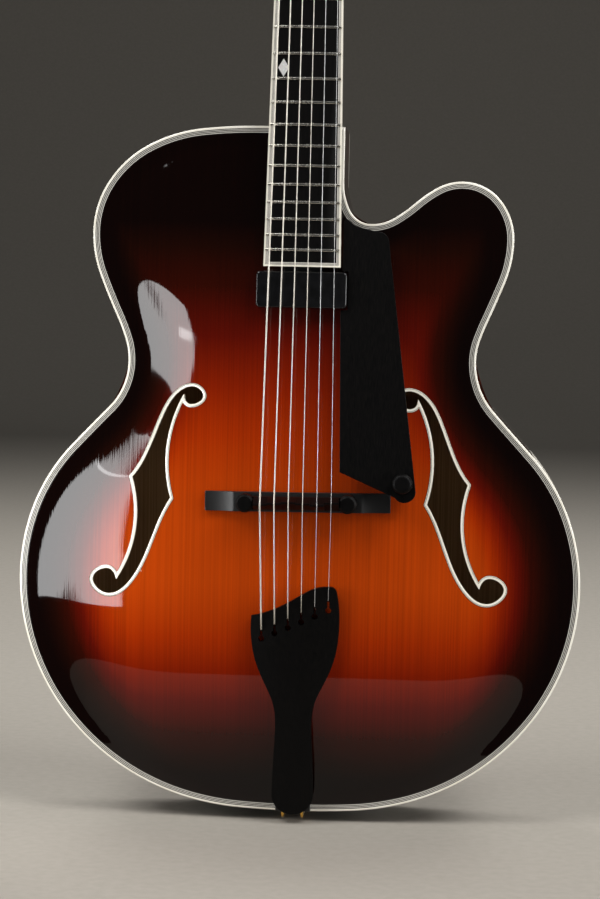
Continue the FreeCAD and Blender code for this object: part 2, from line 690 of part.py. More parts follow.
def make_body_shell():
    edge = mm.binding_width
    lines_edge = mm.binding_width + mm.purfling_width
    rim_front = -mm.rim_depth / 2
    channel = ring(inset(0), inset(lines_edge), rim_front + mm.purfling_depth - FAR,
                   rim_front + mm.purfling_depth)
    top = carved_plate(top_face, top_hollow).cut(channel)
    holes = both_sides(prism(f_edge, -FAR, 0))
    openings = both_sides(prism(f_opening, -FAR, 0))
    hoops = [hole.cut(opening).common(top) for hole, opening in zip(holes, openings)]
    for hole in holes:
        top = top.cut(hole)
    feature("top_plate", top.cut(tenon), body_frame)
    feature("f_hole_bindings", Part.Compound(hoops), body_frame)

    rim_binding = ring(inset(0), inset(edge), rim_front, front_glue)
    feature("top_binding", rim_binding.cut(tenon), body_frame)
    feature("back_binding", rim_binding.mirror(Vector(), Vector(0, 1, 0)), body_frame)
    lines = ring(inset(edge), inset(lines_edge), rim_front, rim_front + mm.purfling_depth)
    feature("top_purfling", lines.cut(tenon), body_frame)

    back = carved_plate(arch_face(mm.back_rise, mm.edge_ledge, 0), plate_hollow(mm.back_rise))
    feature("back_plate", back.mirror(Vector(), Vector(0, 1, 0)), body_frame)

    ribs = ring(inset(0), inset(mm.rib_thickness), front_glue, back_glue).cut(tenon)
    wide = mm.lower_bout
    halves = {"bass_rib": block(-wide, 0, -FAR, FAR, -wide, mm.body_length + wide),
              "treble_rib": block(0, wide, -FAR, FAR, -wide, mm.body_length + wide)}
    endpin_way = Part.makeCylinder(mm.endpin_shank, mm.endpin_depth + mm.overrun, Vector(0, 0, -mm.overrun))
    for label, half in halves.items():
        feature(label, ribs.common(half).cut(endpin_way), body_frame)

    for label, low, high in (("front_lining", front_glue, front_glue + mm.lining_depth),
                             ("back_lining", back_glue - mm.lining_depth, back_glue)):
        lining = ring(inset(mm.rib_thickness), inset(lining_line), low, high)
        feature(label, lining.cut(neck_print).cut(tail_print), body_frame)

    inside = prism(inset(mm.rib_thickness), front_glue, back_glue)
    feature("neck_block", inside.common(neck_print).cut(tenon), body_frame)
    feature("tail_block", inside.common(tail_print).cut(endpin_way), body_frame)


def make_tone_bars():
    """Two spruce bars with a flat foot, glued along the inside of the top's arch."""
    bars = []
    for side in (-1, 1):
        bar = block(-mm.tone_bar_width / 2, mm.tone_bar_width / 2, -FAR, front_glue, 0, mm.tone_bar_length)
        bar.rotate(Vector(), Vector(0, 1, 0), -side * mm.tone_bar_slant)
        bar.translate(Vector(side * mm.tone_bar_spacing / 2, 0, mm.tone_bar_start))
        bars.append(bar.common(top_hollow))
    feature("tone_bars", Part.Compound(bars), body_frame)


# Neck

def half_ellipse(width, depth, top, up):
    """A rounded section with a flat top, square to the neck."""
    left = Vector(-width / 2, top, up)
    right = Vector(width / 2, top, up)
    major, minor = max(width / 2, depth), min(width / 2, depth)
    across = Vector(1, 0, 0) if width / 2 >= depth else Vector(0, 1, 0)
    middle = Vector(0, top, up)
    ellipse = Part.Ellipse(middle + across * major, middle + Vector(0, 0, 1).cross(across) * minor, middle)
    start = ellipse.parameter(left)
    end = ellipse.parameter(right)
    low = ellipse.parameter(Vector(0, top + depth, up))
    if not start < low < end:
        start, end = min(start, end), max(start, end)
    bow = Part.ArcOfEllipse(ellipse, start, end)
    if bow.value((start + end) / 2).y < top:
        bow = Part.ArcOfEllipse(ellipse, end, start + 2 * math.pi)
    return Part.Wire(Part.__sortEdges__([line(left, right), bow.toShape()]))


def heel_section(width, reach, depth):
    """One slice of the heel, flat against the rim and rounded outwards, in the body's frame."""
    section = half_ellipse(width, reach, 0, 0)
    section.rotate(Vector(), TILT_AXIS, 90)
    section.translate(Vector(0, depth, mm.body_length))
    return section


def head_outline():
    """The headstock's outline in its own XZ plane."""
    side = [flat(share, mm.head_half_width, mm.head_length) for share in HEAD_SIDE_SHARES]
    shoulder = flat(HEAD_SHOULDER_SHARE, mm.head_half_width, mm.head_length)
    bulge = Vector(mm.head_half_width * HEAD_BULGE_SHARE, 0, 0)
    flank = [curve(side[:4]), line(side[3], side[4]),
             arc(side[4], (side[4] + shoulder) * 0.5 + bulge, shoulder)]
    mirrored = [edge.mirror(Vector(), Vector(1, 0, 0)) for edge in flank]
    other = Vector(-shoulder.x, 0, shoulder.z)
    crest = arc(shoulder, Vector(0, 0, shoulder.z + mm.head_crest), other)
    foot = line(side[0], Vector(-side[0].x, 0, side[0].z))
    return closed(flank + [crest, foot] + mirrored)


def head_board(low, high):
    return prism(head_outline(), low, high)


def make_neck():
    top = mm.board_thickness
    head_start = nut_up + mm.nut_thickness
    shaft = Part.makeLoft([half_ellipse(board_width(0), mm.neck_depth_at_heel, top, 0),
                           half_ellipse(mm.nut_width, mm.neck_depth_at_nut, top, head_start)], True, True)
    back_of_heel = back_glue + mm.plate_edge - mm.heel_cap_thickness
    front_of_heel = body_depth(mm.neck_rise - top)
    reaches = [mm.heel_root_reach, mm.heel_upper_reach, mm.heel_lower_reach]
    heel_depth = back_of_heel - front_of_heel
    slices = [heel_section(board_width(0) * across, reach, front_of_heel + heel_depth * deep)
              for (across, deep), reach in zip(HEEL_SHARES, reaches)]
    slices.append(heel_section(mm.heel_cap_width, mm.heel_cap_reach, back_of_heel))
    heel = Part.makeLoft(slices, True, False)
    wide = mm.lower_bout
    below_joint = block(-wide, wide, -FAR, FAR, -wide, mm.body_length)
    shaft = shaft.cut(placed(below_joint, body_in_neck))
    wood = shaft.fuse(placed(heel.fuse(tenon), body_in_neck))

    tongue_start = mm.extension_inset
    tongue_end = board_end + mm.board_binding
    tongue_root = board_width(tongue_start) / 2 - mm.extension_inset
    tongue_tip = board_width(board_end) / 2 - mm.extension_inset
    corners = [Vector(-tongue_root, top, tongue_start), Vector(tongue_root, top, tongue_start),
               Vector(tongue_tip, top, tongue_end), Vector(-tongue_tip, top, tongue_end)]
    tongue = Part.makePolygon(corners + corners[:1])
    wood = wood.fuse(Part.Face(tongue).extrude(Vector(0, mm.extension_thickness, 0)))

    back = mm.veneer_thickness + mm.head_wood
    scarf = [Vector(0, mm.veneer_thickness, 0), Vector(0, mm.veneer_thickness + mm.head_scarf_edge, 0),
             Vector(0, back, mm.head_scarf), Vector(0, back, mm.head_length + mm.head_crest),
             Vector(0, mm.veneer_thickness, mm.head_length + mm.head_crest)]
    profile = Part.Face(Part.makePolygon(scarf + scarf[:1])).extrude(Vector(wide, 0, 0))
    profile.translate(Vector(-wide / 2, 0, 0))
    board = head_board(mm.veneer_thickness, back).common(profile)
    volute = Part.makeLoft([half_ellipse(mm.nut_width, mm.neck_depth_at_nut, mm.veneer_thickness, 0),
                            half_ellipse(mm.volute_width, mm.head_wood - mm.veneer_thickness,
                                         mm.veneer_thickness, mm.volute_length)], True, True)
    wood = wood.fuse(placed(board.fuse(volute), head_in_neck))

    over_board = block(-wide, wide, -FAR, top, -wide, head_start)
    wood = wood.cut(over_board).cut(rod_channel()).cut(placed(rod_pocket(), head_in_neck))
    wood = wood.cut(placed(head_board(0, mm.veneer_thickness), head_in_neck))
    for number in range(1, STRINGS + 1):
        wood = wood.cut(placed(tuner_bore(number), head_in_neck))
    for hole in cover_screws():
        wood = wood.cut(placed(hole, head_in_neck))
    feature("neck", wood.removeSplitter(), neck_frame)
    cap = Part.Face(heel_section(mm.heel_cap_width, mm.heel_cap_reach, back_of_heel))
    feature("heel_cap", cap.extrude(Vector(0, mm.heel_cap_thickness, 0)), body_frame)


def rod_channel():
    return block(-mm.rod_width / 2, mm.rod_width / 2, mm.board_thickness, mm.board_thickness + mm.rod_depth,
                 mm.rod_root, nut_up + mm.nut_thickness + mm.overrun)


def rod_pocket():
    return block(-mm.rod_pocket_width / 2, mm.rod_pocket_width / 2, 0,
                 mm.veneer_thickness + mm.rod_depth, 0, mm.rod_pocket_length)


def tuner_bore(number):
    """The stepped hole for a post's bushing and the pilot of its fixing screw, in the headstock's frame."""
    back = mm.veneer_thickness + mm.head_wood
    wide = Part.makeCylinder(mm.bushing_radius, back + mm.overrun, Vector(0, 0, -back - mm.overrun / 2))
    pilot = Part.makeCylinder(mm.tuner_screw_radius, mm.tuner_screw_length, tab_spot() - Vector(0, 0, back))
    return on_side(wide.fuse(pilot), number)


def tab_spot():
    """Middle of the housing's screw tab, on its way up the headstock."""
    foot = mm.housing_offset - mm.housing_length / 2
    return Vector(0, foot - mm.tab_length / 2, 0)


def make_truss_rod():
    rod_end = nut_up + mm.nut_thickness
    middle = mm.board_thickness + mm.rod_depth / 2
    rod = rod_channel().common(block(-FAR, FAR, -FAR, FAR, -FAR, rod_end))
    stub = Part.makeCylinder(mm.rod_bore_radius - mm.rod_fit, mm.rod_stub_length, Vector(0, middle, rod_end))
    feature("truss_rod", rod.fuse(stub), neck_frame)
    nut = turned_body("rod_nut", [
        ("rod_bore_radius", "0"), ("rod_nut_radius", "0"),
        ("rod_nut_radius", "rod_nut_length"), ("rod_bore_radius", "rod_nut_length")])
    nut_place = Placement(Vector(0, middle, rod_end + mm.rod_fit), Rotation())
    keep(nut, "truss_rod_nut", neck_frame.multiply(nut_place))
    lid = padded_body("rod_cover", lambda body: loop_sketch(body, "XY_Plane", [
        ("-rod_cover_base / 2", "0"), ("rod_cover_base / 2", "0"),
        ("rod_cover_tip / 2", "rod_cover_length"), ("-rod_cover_tip / 2", "rod_cover_length")]),
        "rod_cover_thickness")
    lid_frame = head_frame.multiply(Placement(Vector(0, 0, mm.rod_cover_setback), FACING_FRONT))
    shape = lid.Shape
    for screw in cover_screws():
        shape = shape.cut(placed(screw, lid_frame.inverse().multiply(head_frame)))
    feature("truss_rod_cover", shape, lid_frame)
    feature("truss_rod_cover_screws", Part.Compound(cover_screws()), head_frame)


def cover_screws():
    """Two round-headed screws at the ends of the cover, in the headstock's frame."""
    spots = [(mm.rod_cover_base / 2 - mm.cover_screw_inset, mm.rod_cover_setback + mm.cover_screw_inset),
             (-mm.rod_cover_base / 2 + mm.cover_screw_inset, mm.rod_cover_setback + mm.cover_screw_inset),
             (0, mm.rod_cover_setback + mm.rod_cover_length - mm.cover_screw_inset)]
    screws = []
    for across, up in spots:
        base = Vector(across, -mm.rod_cover_thickness, up)
        head = Part.makeCone(mm.cover_screw_head, mm.cover_screw_radius, mm.cover_screw_dome, base, OUTWARD)
        shank = Part.makeCylinder(mm.cover_screw_radius, mm.cover_screw_length, base, Vector(0, 1, 0))
        screws.append(head.fuse(shank))
    return screws


def board_prism(shrink, low, up_from, up_to):
    """The fingerboard's tapered plan between two heights, under its round top, down to a depth."""
    corners = [Vector(side * (board_width(up) / 2 - shrink), 0, up)
               for side, up in ((-1, up_from), (1, up_from), (1, up_to), (-1, up_to))]
    plan = Part.Face(Part.makePolygon(corners + corners[:1]))
    plan.translate(Vector(0, -mm.board_thickness, 0))
    slab = plan.extrude(Vector(0, low + mm.board_thickness, 0))
    round_top = Part.makeCylinder(mm.board_radius, nut_up - board_end + mm.overrun,
                                  Vector(0, mm.board_radius, board_end - mm.overrun / 2))
    return slab.common(round_top)


def inlay_prism():
    """A plain lozenge before the twelfth fret, on the bass side of the middle."""
    up = nut_up - (fret_place(11) + fret_place(12)) / 2 - mm.inlay_drop
    middle = Vector(-mm.inlay_offset, -mm.board_thickness, up)
    half, tall = Vector(mm.inlay_width / 2, 0, 0), Vector(0, 0, mm.inlay_length / 2)
    corners = [middle - half, middle - tall, middle + half, middle + tall]
    return Part.Face(Part.makePolygon(corners + corners[:1])).extrude(
        Vector(0, mm.board_thickness + mm.inlay_depth, 0))


def make_fingerboard():
    whole = board_prism(0, mm.board_thickness, board_end, nut_up)
    core = board_prism(mm.board_binding, mm.board_thickness, board_end + mm.board_binding, nut_up)
    feature("fingerboard", core.cut(inlay_prism()), neck_frame)
    feature("fingerboard_inlay", core.common(inlay_prism()), neck_frame)
    feature("fingerboard_binding", whole.cut(core), neck_frame)

    axis_spot = Vector(0, mm.board_radius, 0)
    frets = []
    for number in range(1, FRETS + 1):
        up = nut_up - fret_place(number)
        reach = math.asin((board_width(up) / 2 - mm.fret_inset) / mm.board_radius)
        low, high = Vector(0, 0, up - mm.fret_width / 2), Vector(0, 0, up + mm.fret_width / 2)
        crown = Part.Wire([arc(low, Vector(0, -mm.fret_height, up), high), line(high, low)])
        bead = Part.Face(crown)
        bead.rotate(axis_spot, Vector(0, 0, 1), -math.degrees(reach))
        frets.append(bead.revolve(axis_spot, Vector(0, 0, 1), 2 * math.degrees(reach)))
    feature("frets", Part.Compound(frets), neck_frame)

    side = [Vector(-mm.nut_width / 2, mm.board_thickness, nut_up),
            Vector(-mm.nut_width / 2, -mm.nut_stand, nut_up),
            Vector(-mm.nut_width / 2, -mm.nut_stand + mm.nut_fall, nut_up + mm.nut_thickness),
            Vector(-mm.nut_width / 2, mm.board_thickness, nut_up + mm.nut_thickness)]
    nut = Part.Face(Part.makePolygon(side + side[:1])).extrude(Vector(mm.nut_width, 0, 0))
    for number in range(1, STRINGS + 1):
        nut = nut.cut(placed(string_shape(number), body_in_neck))
    feature("nut", nut, neck_frame)

    veneer = head_board(0, mm.veneer_thickness).cut(rod_pocket())
    for number in range(1, STRINGS + 1):
        veneer = veneer.cut(tuner_bore(number))
    for screw in cover_screws():
        veneer = veneer.cut(screw)
    feature("headstock_veneer", veneer, head_frame)


# Tuners

def make_tuners():
    foot = "-veneer_thickness - head_wood - housing_depth + housing_floor"
    waist_low = "(post_string_height - post_waist_span / 2)"
    waist_high = "(post_string_height + post_waist_span / 2)"
    post = turned_body("post_master", [
        ("0", foot), ("post_radius", foot),
        ("post_radius", waist_low), ("post_waist", f"{waist_low} + post_tip"),
        ("post_waist", f"{waist_high} - post_tip"), ("post_radius", waist_high),
        ("post_radius", "post_height - post_tip"), ("post_radius - post_tip", "post_height"),
        ("0", "post_height")])
    bushing = turned_body("bushing_master", [
        ("post_radius + post_fit", "-bushing_depth"), ("bushing_radius", "-bushing_depth"),
        ("bushing_radius", "0"), ("bushing_flange", "0"), ("bushing_flange", "bushing_lip"),
        ("post_radius + post_fit", "bushing_lip")])
    key = turned_body("key_master", [
        ("0", "-key_seat"), ("key_radius", "-key_seat"), ("key_radius", "housing_width / 2 + key_fit"),
        ("key_collar", "housing_width / 2 + key_fit"),
        ("key_collar", "housing_width / 2 + key_fit + key_collar_length"),
        ("key_radius", "housing_width / 2 + key_fit + key_collar_length"),
        ("key_radius", "key_reach + button_socket"), ("0", "key_reach + button_socket")])
    button = padded_body("button_master", lambda body: loop_sketch(body, "XY_Plane", [
        ("-button_width / 2", "-button_thickness / 2"), ("button_width / 2", "-button_thickness / 2"),
        ("button_width / 2", "button_thickness / 2"), ("-button_width / 2", "button_thickness / 2")]),
        "button_length")
    soften(button, "Fillet", lambda edge: True, "button_round")
    back_face = -(mm.veneer_thickness + mm.head_wood)
    housing = housing_shape(back_face)
    screw_spot = tab_spot() + Vector(0, 0, back_face - mm.tab_thickness)
    screw = Part.makeCylinder(mm.tuner_screw_radius, mm.tuner_screw_length + mm.tab_thickness, screw_spot)
    head = Part.makeCone(mm.tuner_screw_radius, mm.tuner_screw_head, mm.tuner_screw_dome,
                         screw_spot - Vector(0, 0, mm.tuner_screw_dome))
    screw = screw.fuse(head)
    housing = housing.cut(screw)
    key_place = Placement(Vector(0, mm.worm_offset, back_face - mm.worm_drop), Rotation(Vector(0, 1, 0), 90))
    grip = placed(button.Shape, Placement(Vector(0, 0, mm.key_reach), Rotation()))
    handle = Part.Compound([placed(key.Shape, key_place), placed(grip.cut(key.Shape), key_place)])
    numbers = range(1, STRINGS + 1)
    feature("tuner_housings", Part.Compound([on_side(housing, n) for n in numbers]), head_frame)
    feature("tuner_bushings", Part.Compound([on_side(bushing.Shape, n) for n in numbers]), head_frame)
    feature("tuner_screws", Part.Compound([on_side(screw, n) for n in numbers]), head_frame)
    for number in numbers:
        feature(f"tuner_post_{number}", on_side(post.Shape, number).cut(post_way(number)), head_frame)
        feature(f"tuner_key_{number}", on_side(handle, number), head_frame)


def post_way(number):
    """The string's hole through its post, in line with the string."""
    to_head = head_frame.inverse().multiply(body_frame)
    start, end = to_head.multVec(nut_point(number)), to_head.multVec(post_end(number))
    heading = (end - start).normalize()
    reach = 2 * mm.post_radius
    return Part.makeCylinder(mm.post_hole, 2 * reach, end - heading * reach, heading)


def housing_shape(back_face):
    """A tuner's closed gear housing with its screw tab, bored for the post and the key's shaft."""
    low = mm.housing_offset - mm.housing_length / 2
    case = block(-mm.housing_width / 2, mm.housing_width / 2, low, low + mm.housing_length,
                 back_face - mm.housing_depth, back_face)
    edges = [edge for edge in case.Edges if edge.BoundBox.ZMin < back_face - mm.housing_depth / 2]
    case = case.makeFillet(mm.housing_round, edges)
    tab = block(-mm.tab_width / 2, mm.tab_width / 2, low - mm.tab_length, low + mm.housing_round,
                back_face - mm.tab_thickness, back_face)
    post_depth = mm.housing_depth - mm.housing_floor + mm.post_fit
    post_foot = Vector(0, 0, back_face - post_depth)
    post_bore = Part.makeCylinder(mm.post_radius + mm.post_fit, post_depth, post_foot)
    key_bore = Part.makeCylinder(mm.key_radius + mm.key_fit, mm.key_seat + mm.key_fit + mm.housing_width,
                                 Vector(-mm.key_seat - mm.key_fit, mm.worm_offset, back_face - mm.worm_drop),
                                 Vector(1, 0, 0))
    return case.fuse(tab).cut(post_bore).cut(key_bore)


def make_strings():
    """Six strings, each with the ball that holds it under the tailpiece."""
    for number in range(1, STRINGS + 1):
        ball = Part.makeSphere(mm.ball_radius, string_line(number)[0])
        feature(f"string_{number}", string_shape(number).fuse(ball), body_frame)


# Bridge

def make_bridge():
    half = mm.bridge_length / 2
    scoop_in = half - mm.bridge_scoop
    arch_at_end = arch_height(half, bridge_spot.z)
    end_top = arch_at_end + mm.bridge_end
    deep = body_depth(0)
    scoop_middle = Vector(half - mm.bridge_scoop * SCOOP_SHARE[0],
                          body_depth(end_top + (mm.bridge_top - end_top) * SCOOP_SHARE[1]), 0)
    tip = Vector(half, body_depth(end_top), 0)
    shoulder = Vector(scoop_in, body_depth(mm.bridge_top), 0)
    rising = [line(Vector(half, deep, 0), tip), arc(tip, scoop_middle, shoulder)]
    mirrored = [edge.mirror(Vector(), Vector(1, 0, 0)) for edge in rising]
    flat_runs = [line(Vector(-shoulder.x, shoulder.y, 0), shoulder),
                 line(Vector(-half, deep, 0), Vector(half, deep, 0))]
    profile = Part.Face(closed(rising + mirrored + flat_runs))
    profile.translate(Vector(0, 0, -mm.bridge_width / 2))
    base = profile.extrude(Vector(0, 0, mm.bridge_width))
    crown = arch_height(0, bridge_spot.z)
    relief_half = mm.bridge_relief_width / 2
    relief_radius = (relief_half ** 2 + mm.bridge_relief_height ** 2) / (2 * mm.bridge_relief_height)
    relief_axis = body_depth(crown + mm.bridge_relief_height - relief_radius)
    relief = Part.makeCylinder(relief_radius, FAR, Vector(0, relief_axis, -FAR / 2), Vector(0, 0, 1))
    base = base.cut(placed(under_top, bridge_in_body.inverse())).cut(relief)
    floor = mm.bridge_top - mm.screw_sink
    wheel_low = mm.bridge_top + mm.wheel_lift
    saddle_low = wheel_low + mm.wheel_thickness + mm.saddle_gap
    spots = [side * mm.post_span / 2 for side in (-1, 1)]
    screws = [Part.makeCylinder(mm.screw_radius, mm.screw_length, Vector(x, body_depth(floor), 0), OUTWARD)
              for x in spots]
    for screw in screws:
        base = base.cut(screw)
    feature("bridge_base", base, bridge_frame)
    feature("bridge_posts", Part.Compound(screws), bridge_frame)
    for label, x in zip(("bass_thumbwheel", "treble_thumbwheel"), spots):
        place = Placement(Vector(x, body_depth(wheel_low), 0), FACING_FRONT)
        keep(thumbwheel(label), label, bridge_frame.multiply(place))
    make_saddle(spots, saddle_low, floor + mm.screw_length)


def thumbwheel(name):
    """A milled adjusting wheel with a notched rim and a bore for its post."""
    body = padded_body(f"{name}_body", lambda made: circle_sketch(made, "XY_Plane", [
        ("0", "0", "wheel_radius"), ("0", "0", "screw_radius + screw_fit")]), "wheel_thickness")
    notch = circle_sketch(body, "XY_Plane", [("wheel_radius", "0", "wheel_notch")], "notch")
    pocket = body.newObject("PartDesign::Pocket", "milling")
    pocket.Profile = notch
    pocket.Type = "ThroughAll"
    pocket.Reversed = True
    doc.recompute()
    pattern = body.newObject("PartDesign::PolarPattern", "milled_rim")
    pattern.Originals = [pocket]
    pattern.Axis = (notch, ["N_Axis"])
    pattern.Angle = 360
    pattern.Occurrences = WHEEL_NOTCHES
    body.Tip = pattern
    doc.recompute()
    return body


def make_saddle(spots, low, screw_top):
    """The string saddle: a bevelled boss on each wheel and a staggered ridge under the strings."""
    wall_top = low + mm.saddle_wall
    half_width = mm.saddle_width / 2
    saddle = block(spots[0], spots[1], body_depth(wall_top), body_depth(low), -half_width, half_width)
    for x in spots:
        foot = Vector(x, body_depth(low), 0)
        boss = Part.makeCylinder(mm.saddle_boss, mm.saddle_boss_height, foot, OUTWARD)
        rim = [edge for edge in boss.Edges if edge.BoundBox.YMax < body_depth(low + mm.saddle_boss_height / 2)
               and edge.Closed]
        saddle = saddle.fuse(boss.makeChamfer(mm.saddle_bevel, rim))
    to_bridge = bridge_in_body.inverse()
    reach = mm.bridge_spread / (STRINGS - 1) / 2
    for number in range(1, STRINGS + 1):
        crest = to_bridge.multVec(saddle_point(number))
        top = crest.y + string_radius(number)
        ridge = [Vector(crest.x - reach, body_depth(low), -half_width),
                 Vector(crest.x - reach, body_depth(wall_top), -half_width),
                 Vector(crest.x - reach, top - string_radius(number), crest.z - mm.saddle_ridge / 2),
                 Vector(crest.x - reach, top - string_radius(number), crest.z + mm.saddle_ridge / 2),
                 Vector(crest.x - reach, body_depth(wall_top), half_width),
                 Vector(crest.x - reach, body_depth(low), half_width)]
        saddle = saddle.fuse(Part.Face(Part.makePolygon(ridge + ridge[:1])).extrude(Vector(2 * reach, 0, 0)))
    for number in range(1, STRINGS + 1):
        saddle = saddle.cut(placed(string_shape(number, mm.saddle_notch_fit), to_bridge))
    for x in spots:
        bore = Part.makeCylinder(mm.screw_radius + mm.screw_fit, screw_top - low + mm.wheel_lift + mm.overrun,
                                 Vector(x, body_depth(low - mm.overrun), 0), OUTWARD)
        saddle = saddle.cut(bore)
    feature("bridge_saddle", saddle.removeSplitter(), bridge_frame)


def arch_height(across, up):
    """Height of the carved top above the rim at a place on it."""
    needle = Part.makeLine(Vector(across, -FAR, up), Vector(across, FAR, up))
    spot = top_face.distToShape(needle)[1][0][0]
    return -spot.y - mm.rim_depth / 2


# Tailpiece and endpin

def make_tailpiece():
    def spot(share):
        return flat(share, mm.tailpiece_half_width, tail_reach)

    treble = [spot(share) for share in TAIL_SIDE_SHARES]
    bass = [Vector(-point.x, 0, point.z) for point in treble]
    bass_corner = spot(TAIL_BASS_CORNER_SHARE)
    treble_corner = [spot(share) for share in TAIL_TREBLE_CORNER_SHARES]
    crest = [spot(share) for share in TAIL_CREST_SHARES]
    plan = Part.Wire([
        arc(bass[0], Vector(), treble[0]),
        curve(treble + treble_corner + crest[:1]),
        curve(crest + [bass_corner]),
        curve([bass_corner] + bass[::-1]),
    ])
    low = tail_height(0)
    slope = math.atan2(mm.tailpiece_high - mm.tailpiece_low, tail_reach)
    along = Vector(0, -math.sin(slope), math.cos(slope))
    into = Vector(0, math.cos(slope), math.sin(slope))
    foot = Vector(0, body_depth(low), 0)
    crown_start = foot + into * mm.tailpiece_crown - along * FAR / 2
    crown = Part.makeCylinder(mm.tailpiece_crown, 2 * FAR, crown_start, along)
    under = Part.makeBox(FAR, FAR, 2 * FAR)
    under.translate(Vector(-FAR / 2, 0, -FAR / 2))
    under.rotate(Vector(), TILT_AXIS, math.degrees(slope))
    under.translate(foot + into * mm.tailpiece_thickness)
    solid = prism(plan, -FAR, FAR).common(crown).cut(under)
    for number in range(1, STRINGS + 1):
        across, up = keyhole(number)
        hole = Part.makeCylinder(mm.keyhole_radius, 2 * FAR, Vector(across, -FAR, up), Vector(0, 1, 0))
        slot = block(across - mm.keyslot_width / 2, across + mm.keyslot_width / 2, -FAR, FAR, up,
                     up + mm.keyslot_length + mm.keyslot_width / 2)
        ball = string_line(number)[0]
        pocket = Part.makeCylinder(mm.ball_pocket, FAR, ball - Vector(0, mm.ball_radius, 0), Vector(0, 1, 0))
        solid = solid.cut(hole.fuse(slot)).cut(pocket).cut(string_shape(number, mm.string_fit))
    feature("tailpiece", solid.cut(tail_wire()), body_frame)
    feature("tail_wire", tail_wire(), body_frame)

    rise = tail_height(0) - mm.tailpiece_thickness - mm.tail_saddle_fit
    rest = block(-mm.tail_saddle_width / 2, mm.tail_saddle_width / 2, body_depth(rise), body_depth(0),
                 mm.tail_saddle_inset, mm.tail_saddle_inset + mm.tail_saddle_length)
    top_edges = [edge for edge in rest.Edges if edge.BoundBox.YMax < body_depth(rise / 2)]
    rest = rest.makeFillet(mm.tail_saddle_round, top_edges)
    feature("tail_saddle", rest, body_frame)


def tail_wire():
    """The hanger: out of the tailpiece's foot, over the tail, round the endpin and back."""
    x = mm.wire_half_span
    low = -mm.endpin_groove
    height = tail_height(0) - mm.wire_drop
    bend = mm.wire_bend
    treble = [Vector(x, body_depth(height), mm.wire_sink), Vector(x, body_depth(height), low + bend)]
    corner = Vector(x, body_depth(height) + bend, low)
    middle = Vector(x, body_depth(height) + bend * (1 - math.sqrt(0.5)), low + bend * (1 - math.sqrt(0.5)))
    waist = Vector(x, 0, low)
    run = [line(*treble), arc(treble[1], middle, corner), line(corner, waist)]
    other = [edge.mirror(Vector(), Vector(1, 0, 0)) for edge in run]
    loop = arc(waist, Vector(0, x, low), Vector(-x, 0, low))
    path = Part.Wire(Part.__sortEdges__(run + [loop] + other))
    section = Part.Wire(Part.makeCircle(mm.wire_radius, treble[0], Vector(0, 0, 1)))
    return path.makePipeShell([section], True, False)


def make_endpin():
    pin = turned_body("endpin_turning", [
        ("jack_radius", "0"), ("endpin_head", "0"), ("endpin_head", "endpin_head_length - endpin_head / 10"),
        ("endpin_shank", "endpin_head_length"), ("endpin_shank", "endpin_reach + endpin_depth"),
        ("0", "endpin_reach + endpin_depth"), ("0", "jack_depth"), ("jack_radius", "jack_depth")])
    keep(pin, "endpin", Placement())


# Pickguard, pickup and volume control

def guard_point(share):
    return flat(share, mm.guard_width, guard_head - guard_foot, mm.guard_left, guard_foot)


